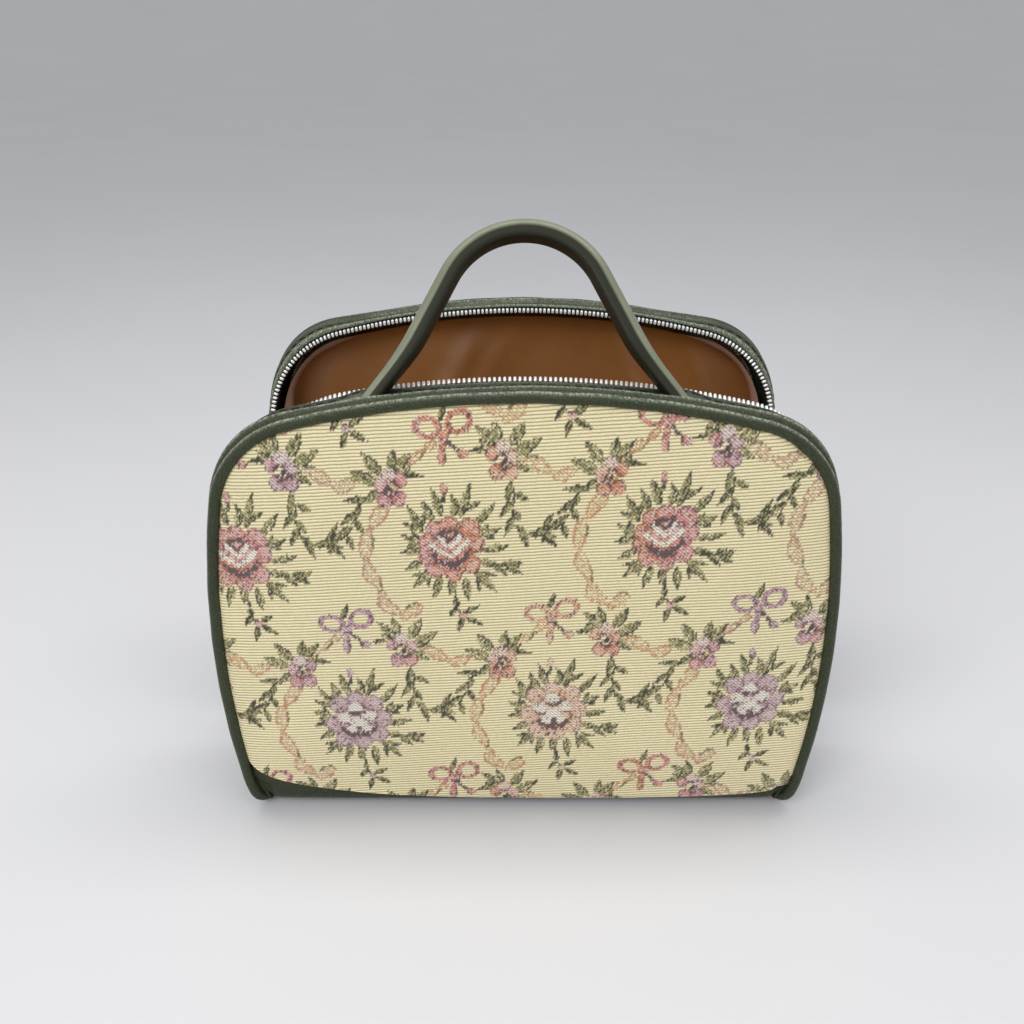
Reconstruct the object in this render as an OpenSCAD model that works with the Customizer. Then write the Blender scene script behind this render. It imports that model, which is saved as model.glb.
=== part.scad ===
// Soft cosmetic train case, unzipped and standing open, in millimetres.
// X runs across the case, Y from front to back and Z up from the floor.
// Each half is drawn in its own frame: the origin lies on its fold line at the base,
// Y points into the case and Z up its panel. The two halves are mirror images.

/* [Case] */
// Width over the piping
case_w = 266; // [220:1:320]
// Height of the front half above the floor
case_h = 206; // [180:1:240]
// Depth of the base from panel to panel
base_d = 120; // [100:1:140]
// Width of the top strip from panel to zip
strip_w = 21; // [16:1:28]
// Height of the strip's face above its flange at the piped seam
strip_rise = 3; // [2:0.5:3.5]
// Angle that the open back half leans back
back_lean = 6.5; // [0:0.5:12]

/* [Panel outline] */
// Radius of the crowned top edge
crown_r = 380; // [300:5:600]
// Radius of the top corners
corner_r = 46; // [36:1:56]
// Radius of the barrelled sides
side_r = 420; // [360:5:700]
// Height of the widest point above the floor
widest_z = 80; // [60:1:100]
// Radius of the bottom corners
foot_r = 11; // [10:0.5:16]
// Radius of the tapestry at its lower corners
tapestry_foot_r = 30; // [20:1:40]

/* [Layers] */
// Diameter of the piping
piping_d = 4.8; // [3.6:0.2:6]
// Thickness of the tapestry
tapestry_t = 1; // [0.8:0.1:1.4]
// Thickness of the stiffening boards
board_t = 2; // [1.5:0.1:3]
// Thickness of the vinyl strips
vinyl_t = 1.2; // [0.8:0.1:1.6]
// Thickness of the lining
lining_t = 1; // [0.8:0.1:1.4]
// Room between two layers sewn together
layer_gap = 0.1; // [0.05:0.05:0.2]

/* [Base] */
// Thickness of the padded base, rolled at its long edges
base_t = 9; // [8:0.5:12]
// Height of the soft end walls above the floor
end_wall_h = 52; // [44:1:64]
// Room between the end walls and the halves that swing past them
end_gap = 0.6; // [0.4:0.1:1.2]
// Room between the base and the swinging halves
swing_gap = 0.6; // [0.4:0.1:1]

/* [Zip] */
// Spacing of the teeth
tooth_pitch = 2; // [1.8:0.1:3]
// Length of a tooth from its tape
tooth_l = 3; // [2:0.1:4]
// Thickness of a tooth through the strip
tooth_t = 2.4; // [2:0.1:3]
// Width of tape that shows between the strip and the teeth
tape_show = 1.5; // [1:0.1:3]
// Width of tape sewn under the strip
tape_hidden = 8; // [5:0.5:10]
// Room left between the two rows when the case is closed
row_gap = 0.4; // [0.3:0.1:0.8]
// Width of the slider across the zip
slider_w = 8; // [6:0.5:9]
// Height of the slider
slider_h = 9; // [8:0.5:12]
// Length of the pull below its pin
pull_l = 26; // [18:1:28]

/* [Handle] */
// Rise of the handle along its own plane
handle_rise = 65; // [55:1:75]
// Angle that the handle leans back
handle_lean = 27; // [15:1:30]
// Width of the handle strap
handle_w = 16; // [12:0.5:18]
// Thickness of the handle strap
handle_t = 9.5; // [7.5:0.5:10]
// Outer radius of the arched top
handle_r = 37.3; // [34:0.1:42]
// Half angle of the arched top
handle_arc = 62; // [55:1:66]
// Length of each straight leg
leg_l = 26; // [22:1:32]
// Radius of the flare at each foot
flare_r = 110; // [80:5:140]
// Angle of the flare at each foot
flare_a = 10; // [6:1:14]
// Length of each foot below its flare, down to the strip
foot_l = 13.3; // [11:0.1:16]
// Depth of the handle's base line below the top of the piping
handle_drop = 3; // [2:0.5:5]
// Width of the handle at its feet
foot_w = 11.5; // [10:0.5:12]
// Distance that the handle is set back from the middle of the strip
handle_set = 2.5; // [1.5:0.5:3]

/* [Hidden] */
$fn = 64;

// Colours of the real case
vinyl_green = [0.31, 0.33, 0.26];
piping_green = [0.22, 0.23, 0.15];
tapestry_cream = [0.78, 0.71, 0.58];
lining_tan = [0.42, 0.27, 0.12];
card_brown = [0.55, 0.46, 0.34];
tape_black = [0.1, 0.1, 0.09];
metal_silver = [0.75, 0.75, 0.73];

// Fold lines: the centres of the rolled long edges of the base
roll_r = base_t / 2;
fold_y = base_d / 2 - roll_r;
fold_z = roll_r;

// Depth of each layer in a half's own frame, from the outer face inwards
panel_y = -roll_r;
board_y = panel_y + tapestry_t;
liner_y = board_y + board_t;
inside_y = liner_y + lining_t;

// Inset of each layer from the outline over the piping
strip_in = piping_d;
lining_in = strip_in + vinyl_t + layer_gap;
inner_in = lining_in + lining_t;
face_in = strip_in - strip_rise;
face_y = board_y + piping_d / 2 + layer_gap;
tape_in = face_in + vinyl_t + layer_gap;
tooth_in = tape_in + lining_t / 2;

// Outline centres in a half's own frame, as [x, z]
half_w = case_w / 2;
top_z = case_h - fold_z;
low_z = roll_r + swing_gap;
side_c = [half_w - side_r, widest_z - fold_z];
crown_c = [0, top_z - crown_r];
corner_c = circles_meet(crown_c, crown_r - corner_r, side_c, side_r - corner_r);
shoulder_a = bearing(side_c, corner_c);
crown_a = bearing(crown_c, corner_c);

// Zip plane: tilted by the angle through which the front half closes
close_a = asin(fold_y / norm([strip_w - roll_r, top_z])) - atan((strip_w - roll_r) / top_z);
rim = fold_y - row_gap / 2 - tooth_l - tape_show;
zip_end = end_wall_h - fold_z;
notch_back = slider_w / 2 + 1.9;
wall_foot_z = low_z + foot_r;

// End walls, slider and pull, which stay with the base
wall_x = half_width(wall_foot_z) - inner_in - end_gap;
slider_x = half_width(zip_end) - lining_in;
slider_out = half_width(zip_end) - 2.6;
slider_z = end_wall_h - slider_h - 3;
patch_w = slider_w + 1;
pin_r = 0.8;
pin_room = 0.35;
eye_r = 2;
eye_w = 3;
ear_w = 1;
pin_x = slider_out + eye_r + 0.5;
pin_z = slider_z + slider_h - eye_r;

// Reach of the cutting blocks
far = 2 * max(case_w, case_h);

function bearing(a, b) = atan2(b[1] - a[1], b[0] - a[0]);

// Right-hand crossing of two circles
function circles_meet(a, ra, b, rb) =
    let (d = norm(b - a), u = (b - a) / d, along = (ra * ra - rb * rb + d * d) / (2 * d))
    let (off = sqrt(ra * ra - along * along), p = a + along * u, side = [-u[1], u[0]] * off)
    (p + side)[0] > (p - side)[0] ? p + side : p - side;

// Centre of a bottom corner of radius r
function foot_c(r) =
    let (z = low_z + r)
    [side_c[0] + sqrt(pow(side_r - r, 2) - pow(z - side_c[1], 2)), z];

// Half width of the outline at height z on its barrelled side
function half_width(z) = side_c[0] + sqrt(side_r * side_r - pow(z - side_c[1], 2));

// Points along an arc, without its last one
function arc(c, r, a0, a1, n) =
    [for (k = [0 : n - 1]) let (a = a0 + (a1 - a0) * k / n) c + r * [cos(a), sin(a)]];

// Right edge of the panel, set in by i, from the floor to the top centre
function right_edge(i, r, a0) =
    let (fc = foot_c(r), foot_a = bearing(side_c, fc))
    concat(
        arc(fc, r - i, a0, foot_a, 6),
        arc(side_c, side_r - i, foot_a, shoulder_a, 12),
        arc(corner_c, corner_r - i, shoulder_a, crown_a, 12),
        arc(crown_c, crown_r - i, crown_a, 90, 10),
        [[0, top_z - i]]
    );

// Both edges as one path from right to left
function edge_path(i, r, a0) =
    let (e = right_edge(i, r, a0), n = len(e))
    concat(e, [for (k = [n - 2 : -1 : 0]) [-e[k][0], e[k][1]]]);

// Panel-shaped slab from y0 to y1, set in by i
module slab(i, y0, y1, r = foot_r) {
    translate([0, y1, 0])
        rotate([90, 0, 0])
            linear_extrude(y1 - y0)
                polygon(edge_path(i, r, -90));
}

// Everything past a depth d on the way to the zip plane
module past_rim(d) {
    rotate([close_a, 0, 0])
        translate([-far, d, -far])
            cube(2 * far);
}

// Everything that would meet the base or the end walls as a half swings
module swing_room() {
    rotate([close_a, 0, 0])
        translate([-far, -far, low_z - 2 * far])
            cube(2 * far);
    translate([-far, inside_y + 2, wall_foot_z - 2 * far])
        cube(2 * far);
    rotate([close_a, 0, 0])
        translate([-far, fold_y - notch_back, zip_end - 2 * far])
            cube(2 * far);
}

// Puts a part of the front half in its place
module on_front() {
    translate([0, -fold_y, fold_z])
        children();
}

// Puts a part of the back half in its place
module on_back() {
    mirror([0, 1, 0])
        translate([0, -fold_y, fold_z])
            rotate([back_lean, 0, 0])
                children();
}

module tapestry_panel() {
    color(tapestry_cream)
        slab(strip_in, panel_y, board_y, tapestry_foot_r);
}

// Two vinyl corners that complete the panel below the rounded tapestry
module corner_facings() {
    r = tapestry_foot_r;
    c = foot_c(r);
    color(vinyl_green)
        for (s = [0, 1])
            mirror([s, 0, 0])
                intersection() {
                    slab(strip_in, panel_y, board_y);
                    difference() {
                        translate([c[0] + r / 6, panel_y, low_z])
                            cube([r, tapestry_t, r * 5 / 6]);
                        translate([c[0], 0, c[1]])
                            rotate([90, 0, 0])
                                cylinder(h = base_d, r = r - strip_in, center = true);
                    }
                }
}

module stiff_board() {
    color(card_brown)
        slab(lining_in, board_y, liner_y);
}

// Dish of lining that ends where the zip tape begins
module lining_dish() {
    color(lining_tan)
        difference() {
            slab(lining_in, liner_y, base_d);
            slab(inner_in, inside_y, base_d + 1);
            past_rim(rim - tape_hidden);
            swing_room();
        }
}

// Strip whose face stands above its flange, behind the piping
module gusset_strip() {
    color(vinyl_green)
        difference() {
            union() {
                slab(strip_in, board_y, face_y + vinyl_t);
                slab(face_in, face_y, base_d);
            }
            slab(strip_in + vinyl_t, board_y - 1, base_d + 1);
            slab(face_in + vinyl_t, face_y + vinyl_t, base_d + 1);
            past_rim(rim);
            swing_room();
        }
}

module zip_tape() {
    color(tape_black)
        difference() {
            slab(tape_in, inside_y, base_d);
            slab(tape_in + lining_t, inside_y - 1, base_d + 1);
            past_rim(rim + tape_show);
            swing_room();
            difference() {
                translate([-far, -far, -far])
                    cube(2 * far);
                past_rim(rim - tape_hidden);
            }
        }
}

// Teeth along one arc of the outline, standing on the edge of the tape
module teeth_on_arc(c, r, a0, a1) {
    n = floor((r - tooth_in) * abs(a1 - a0) * PI / 180 / tooth_pitch);
    for (k = [0 : n - 1]) {
        a = a0 + (a1 - a0) * (k + 0.5) / n;
        p = c + (r - tooth_in) * [cos(a), sin(a)];
        y = (rim + tape_show - p[1] * sin(close_a)) / cos(close_a);
        translate([p[0], y, p[1]])
            rotate([close_a, 0, 0])
                rotate([0, -a, 0])
                    translate([-tooth_t / 2, 0, -tooth_pitch / 4])
                        cube([tooth_t, tooth_l, tooth_pitch / 2]);
    }
}

module zip_teeth() {
    start_a = asin((zip_end + fold_y * sin(close_a) + 2 - side_c[1]) / side_r);
    color(metal_silver) {
        for (s = [0, 1])
            mirror([s, 0, 0]) {
                teeth_on_arc(side_c, side_r, start_a, shoulder_a);
                teeth_on_arc(corner_c, corner_r, shoulder_a, crown_a);
            }
        teeth_on_arc(crown_c, crown_r, crown_a, 180 - crown_a);
    }
}

// Round cord swept round the panel, open at the base
module piping() {
    sides = 10;
    r = piping_d / 2;
    path = edge_path(r, foot_r, -60);
    n = len(path);
    rings = [for (k = [0 : n - 1])
        let (t = path[min(k + 1, n - 1)] - path[max(k - 1, 0)], u = [t[1], -t[0]] / norm(t))
        for (j = [0 : sides - 1])
            let (q = path[k] + r * cos(360 * j / sides) * u)
            [q[0], board_y + r * sin(360 * j / sides), q[1]]];
    walls = [for (k = [0 : n - 2], j = [0 : sides - 1])
        let (j1 = (j + 1) % sides)
        [k * sides + j, k * sides + j1, (k + 1) * sides + j1, (k + 1) * sides + j]];
    first = [[for (j = [sides - 1 : -1 : 0]) j]];
    last = [[for (j = [0 : sides - 1]) (n - 1) * sides + j]];
    color(piping_green)
        polyhedron(rings, concat(walls, first, last), convexity = 6);
}

// Outer line of the right half of the handle in its own plane, from the top to the foot,
// as [point, outward direction, width]
function handle_line() =
    let (top_c = [0, handle_rise - handle_r], leg_a = 90 - handle_arc)
    let (leg_u = [cos(leg_a), sin(leg_a)], leg_t = [leg_u[1], -leg_u[0]])
    let (leg_end = top_c + handle_r * leg_u + leg_l * leg_t, flare_c = leg_end + flare_r * leg_u)
    let (foot_a = leg_a + flare_a, foot_u = [cos(foot_a), sin(foot_a)])
    concat(
        [for (a = [90 : -handle_arc / 10 : leg_a + 1])
            [top_c + handle_r * [cos(a), sin(a)], [cos(a), sin(a)], handle_w]],
        [[top_c + handle_r * leg_u, leg_u, handle_w]],
        [for (k = [0 : 3])
            let (a = leg_a + flare_a * k / 3, u = [cos(a), sin(a)])
            [flare_c - flare_r * u, u, handle_w + (foot_w - handle_w) * k / 3]],
        [[flare_c - flare_r * foot_u + foot_l * [foot_u[1], -foot_u[0]], foot_u, foot_w]]
    );

// Section of the handle, round outside and flat inside, as [depth, place across]
function handle_section(n, w) =
    let (t = handle_t * w / handle_w, r = (pow(w / 2, 2) + pow(t, 2)) / (2 * t))
    let (end_a = acos(1 - t / r))
    [for (k = [0 : n - 1])
        let (a = end_a * (2 * k / (n - 1) - 1))
        [r * (1 - cos(a)), r * sin(a)]];

// Handle standing in the middle of the front top strip, with its feet cut to the crown
module handle() {
    sides = 13;
    half = handle_line();
    m = len(half);
    line = concat(
        [for (k = [m - 1 : -1 : 0]) half[k]],
        [for (k = [1 : m - 1])
            [[-half[k][0][0], half[k][0][1]], [-half[k][1][0], half[k][1][1]], half[k][2]]]
    );
    n = len(line);
    seat_r = crown_r - face_in + layer_gap;
    rings = [for (k = [0 : n - 1])
        for (q = handle_section(sides, line[k][2]))
            let (p = line[k][0] - q[0] * line[k][1])
            let (y = q[1] * cos(handle_lean) + p[1] * sin(handle_lean))
            let (z = p[1] * cos(handle_lean) - q[1] * sin(handle_lean) + top_z - handle_drop)
            let (seat = crown_c[1] + sqrt(seat_r * seat_r - p[0] * p[0]))
            [p[0], panel_y + strip_w / 2 + handle_set + y, k == 0 || k == n - 1 ? seat : max(z, seat)]];
    walls = [for (k = [0 : n - 2], j = [0 : sides - 1])
        let (a = k * sides + j, b = k * sides + (j + 1) % sides)
        for (t = [[a, a + sides, b + sides], [a, b + sides, b]]) t];
    first = [for (j = [1 : sides - 2]) [0, j, j + 1]];
    last = [for (t = first) [for (j = [2 : -1 : 0]) (n - 1) * sides + t[j]]];
    on_front()
        color(vinyl_green)
            polyhedron(rings, concat(walls, first, last), convexity = 6);
}

// Padded base with its long edges rolled about the fold lines
module base_cover() {
    color(vinyl_green)
        difference() {
            union() {
                translate([-wall_x, -fold_y, 0])
                    cube([2 * wall_x, 2 * fold_y, base_t]);
                for (s = [-1, 1])
                    translate([-wall_x, s * fold_y, fold_z])
                        rotate([0, 90, 0])
                            cylinder(h = 2 * wall_x, r = roll_r);
            }
            base_bed(base_t - board_t - lining_t, base_t + 1, 0);
        }
}

// Sunk bed of the base from z0 to z1, set in by i
module base_bed(z0, z1, i) {
    bed_x = wall_x - 2 * vinyl_t - i;
    bed_y = fold_y - i;
    translate([-bed_x, -bed_y, z0])
        cube([2 * bed_x, 2 * bed_y, z1 - z0]);
}

module base_board() {
    color(card_brown)
        base_bed(base_t - board_t - lining_t, base_t - lining_t, layer_gap);
}

module base_lining() {
    color(lining_tan)
        base_bed(base_t - lining_t, base_t, layer_gap);
}

// Soft wall at one end of the base, with the patch that holds the zip end
module end_wall() {
    wall_d = fold_y * 1.3;
    color(vinyl_green) {
        translate([wall_x - 2 * vinyl_t, -wall_d / 2, base_t])
            cube([2 * vinyl_t, wall_d, end_wall_h - base_t]);
        translate([wall_x, -patch_w / 2, base_t + 9])
            cube([slider_x - wall_x, patch_w, end_wall_h - base_t - 9]);
    }
}

module left_end_wall() {
    mirror([1, 0, 0])
        end_wall();
}

module right_end_wall() {
    end_wall();
}

// Slider on the right-hand zip end, with two ears and the pin of its pull
module zip_slider() {
    ear_x = pin_x + eye_r - slider_out;
    color(metal_silver) {
        translate([slider_x, -slider_w / 2, slider_z])
            cube([slider_out - slider_x, slider_w, slider_h]);
        for (s = [-1, 1])
            translate([slider_out, s * (eye_w / 2 + 0.4 + ear_w / 2) - ear_w / 2, pin_z - eye_r])
                cube([ear_x, ear_w, 2 * eye_r]);
        translate([pin_x, 0, pin_z])
            rotate([90, 0, 0])
                cylinder(h = eye_w + 2 * ear_w, r = pin_r, center = true);
    }
}

// Crimped stop at the left-hand zip end and below the slider
module zip_stops() {
    stop = [1.6, 5, 3];
    color(metal_silver) {
        translate([slider_x, -stop[1] / 2, slider_z - stop[2] - 1])
            cube(stop);
        translate([-slider_x - stop[0], -stop[1] / 2, end_wall_h - stop[2] - 1])
            cube(stop);
    }
}

// Pull with a bored eye, hanging on the slider's pin
module zip_pull() {
    plate_t = 1.6;
    plate_w = 6;
    color(metal_silver)
        difference() {
            union() {
                translate([pin_x, 0, pin_z])
                    rotate([90, 0, 0])
                        cylinder(h = eye_w, r = eye_r, center = true);
                translate([pin_x - plate_t / 2, -eye_w / 2, pin_z - 2 * eye_r - 2])
                    cube([plate_t, eye_w, 2 * eye_r + 2]);
                translate([pin_x - plate_t / 2, -plate_w / 2, pin_z - pull_l])
                    cube([plate_t, plate_w, pull_l - 2 * eye_r - 1]);
            }
            translate([pin_x, 0, pin_z])
                rotate([90, 0, 0])
                    cylinder(h = 2 * eye_w, r = pin_r + pin_room, center = true);
            translate([pin_x, 0, pin_z - pull_l + 4])
                rotate([0, 90, 0])
                    cylinder(h = 4 * plate_t, r = 1.5, center = true);
        }
}

module front_tapestry() {
    on_front() tapestry_panel();
}

module front_corner_facings() {
    on_front() corner_facings();
}

module front_board() {
    on_front() stiff_board();
}

module front_lining() {
    on_front() lining_dish();
}

module front_gusset() {
    on_front() gusset_strip();
}

module front_piping() {
    on_front() piping();
}

module front_zip_tape() {
    on_front() zip_tape();
}

module front_zip_teeth() {
    on_front() zip_teeth();
}

module back_tapestry() {
    on_back() tapestry_panel();
}

module back_corner_facings() {
    on_back() corner_facings();
}

module back_board() {
    on_back() stiff_board();
}

module back_lining() {
    on_back() lining_dish();
}

module back_gusset() {
    on_back() gusset_strip();
}

module back_piping() {
    on_back() piping();
}

module back_zip_tape() {
    on_back() zip_tape();
}

module back_zip_teeth() {
    on_back() zip_teeth();
}

base_cover();
base_board();
base_lining();
left_end_wall();
right_end_wall();
zip_slider();
zip_stops();
zip_pull();
front_tapestry();
front_corner_facings();
front_board();
front_lining();
front_gusset();
front_piping();
front_zip_tape();
front_zip_teeth();
handle();
back_tapestry();
back_corner_facings();
back_board();
back_lining();
back_gusset();
back_piping();
back_zip_tape();
back_zip_teeth();
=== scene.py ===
"""Looks of a soft cosmetic train case: tapestry halves, vinyl strips, a metal zip and an arched handle."""

from __future__ import annotations

import logging
import math
from dataclasses import dataclass
from enum import Enum
from typing import Callable, Sequence

import bpy
import numpy as np
from mathutils import Matrix, Vector


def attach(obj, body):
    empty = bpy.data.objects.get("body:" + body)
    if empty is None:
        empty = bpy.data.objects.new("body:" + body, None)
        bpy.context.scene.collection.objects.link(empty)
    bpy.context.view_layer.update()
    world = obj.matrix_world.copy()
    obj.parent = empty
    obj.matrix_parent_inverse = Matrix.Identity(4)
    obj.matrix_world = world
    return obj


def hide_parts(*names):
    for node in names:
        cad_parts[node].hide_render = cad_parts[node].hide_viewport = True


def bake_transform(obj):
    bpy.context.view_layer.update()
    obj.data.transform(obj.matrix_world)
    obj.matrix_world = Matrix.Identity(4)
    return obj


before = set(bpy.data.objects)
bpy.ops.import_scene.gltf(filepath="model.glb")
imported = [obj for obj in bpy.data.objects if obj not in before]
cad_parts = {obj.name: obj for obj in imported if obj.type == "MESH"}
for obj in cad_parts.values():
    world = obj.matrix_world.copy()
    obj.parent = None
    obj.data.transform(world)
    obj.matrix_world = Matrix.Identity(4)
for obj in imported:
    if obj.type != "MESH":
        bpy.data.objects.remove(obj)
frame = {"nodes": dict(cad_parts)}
log = logging.getLogger("train_case")

MM = 0.001

Array = np.ndarray
Colour = tuple[float, float, float]
Piece = bpy.types.Object
Material = bpy.types.Material
Node = bpy.types.Node
NodeTree = bpy.types.NodeTree
Socket = bpy.types.NodeSocket


def linear(red: float, green: float, blue: float) -> tuple[float, float, float, float]:
    """Turns a colour as seen on screen into the one that shaders use.

    Args:
        red: Red, 0 to 255.
        green: Green, 0 to 255.
        blue: Blue, 0 to 255.

    Returns:
        The linear colour with full opacity.
    """
    out = []
    for value in (red, green, blue):
        c = value / 255
        out.append(c / 12.92 if c <= 0.04045 else ((c + 0.055) / 1.055) ** 2.4)
    return (out[0], out[1], out[2], 1.0)


def ease(t: Array) -> Array:
    """Eases a ramp from 0 to 1, flat at both ends."""
    t = np.clip(t, 0.0, 1.0)
    return t * t * (3 - 2 * t)


def ripple(a: Array, b: Array, size: float, seed: int, waves: int = 7) -> Array:
    """Soft uneven waves, the same on every run.

    Args:
        a: First coordinate, in metres.
        b: Second coordinate, in metres.
        size: Usual length of a wave, in metres.
        seed: Which set of waves.
        waves: How many waves are added.

    Returns:
        A height between about -1 and 1 at each place.
    """
    rng = np.random.default_rng(seed)
    total = np.zeros(np.broadcast(a, b).shape)
    for _ in range(waves):
        turn, phase = rng.uniform(0, 2 * math.pi, 2)
        pitch = size * rng.uniform(0.6, 1.6)
        total += np.sin(2 * math.pi * (a * math.cos(turn) + b * math.sin(turn)) / pitch + phase)
    return total / math.sqrt(waves) / 1.4


def hump(gap: float | Array, wide: float) -> Array:
    """A smooth hump, 1 where the gap is nothing."""
    return np.exp(-((gap / wide) ** 2))


# ---- sizes and outline


class Side(Enum):
    """The two halves of the case."""

    FRONT = "front"
    BACK = "back"


class End(Enum):
    """The two ends of the case, as the sign of X."""

    LEFT = -1
    RIGHT = 1

    @property
    def word(self) -> str:
        """The end's name in the names of pieces."""
        return self.name.lower()


@dataclass(frozen=True)
class CaseSizes:
    """Driving sizes of the case, in metres and radians, the same as in the part's source."""

    case_w: float = 0.266
    case_h: float = 0.206
    base_d: float = 0.120
    strip_w: float = 0.021
    back_lean: float = math.radians(6.5)
    crown_r: float = 0.380
    corner_r: float = 0.046
    side_r: float = 0.420
    widest_z: float = 0.080
    foot_r: float = 0.011
    piping_d: float = 0.0048
    roll_r: float = 0.0045
    base_t: float = 0.009
    end_wall_h: float = 0.052
    tooth_pitch: float = 0.002
    tooth_l: float = 0.003
    tape_show: float = 0.0015
    row_gap: float = 0.0004
    low_z: float = 0.0051

    @property
    def fold_y(self) -> float:
        """Distance of each fold line from the middle of the base."""
        return self.base_d / 2 - self.roll_r

    @property
    def fold_z(self) -> float:
        """Height of the fold lines."""
        return self.roll_r

    @property
    def top_z(self) -> float:
        """Top of a half above its fold line."""
        return self.case_h - self.roll_r

    @property
    def panel_y(self) -> float:
        """Outer face of a panel, from its fold line."""
        return -self.roll_r

    @property
    def close_a(self) -> float:
        """Angle through which an upright half closes."""
        reach = self.strip_w - self.roll_r
        return math.asin(self.fold_y / math.hypot(reach, self.top_z)) - math.atan(reach / self.top_z)

    @property
    def teeth_end(self) -> float:
        """Distance of the teeth's tips along the zip plane's normal."""
        return self.fold_y - self.row_gap / 2

    @property
    def rim(self) -> float:
        """Distance of the strip's hemmed edge along the zip plane's normal."""
        return self.teeth_end - self.tooth_l - self.tape_show

    def zip_y(self, z: float | Array, distance: float) -> float | Array:
        """Place across a half, at height z, of the plane that lies along the zip."""
        return (distance - z * math.sin(self.close_a)) / math.cos(self.close_a)


@dataclass(frozen=True)
class Rail:
    """Points round the outline, each kept as an arc's centre, radius and angle."""

    centre: Array
    radius: Array
    angle: Array

    def points(self, inset: float | Array = 0.0) -> Array:
        """Points at one distance inside the outline, or at one for each point, as rows of x and height."""
        r = self.radius - inset
        return np.c_[self.centre[:, 0] + r * np.cos(self.angle), self.centre[:, 1] + r * np.sin(self.angle)]

    def outward(self) -> Array:
        """Outward directions, as rows of x and height."""
        return np.c_[np.cos(self.angle), np.sin(self.angle)]

    def above(self, z: float) -> Rail:
        """The part of the rail that is above a height."""
        keep = self.points()[:, 1] >= z
        return Rail(self.centre[keep], self.radius[keep], self.angle[keep])

    def along(self) -> Array:
        """Distance of each point along the outline from the middle of the top.

        Returns:
            Distances, less than nothing on the right.
        """
        p = self.points()
        run = np.r_[0.0, np.cumsum(np.hypot(*np.diff(p, axis=0).T))]
        return run - np.interp(0.0, -p[:, 0], run)


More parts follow.
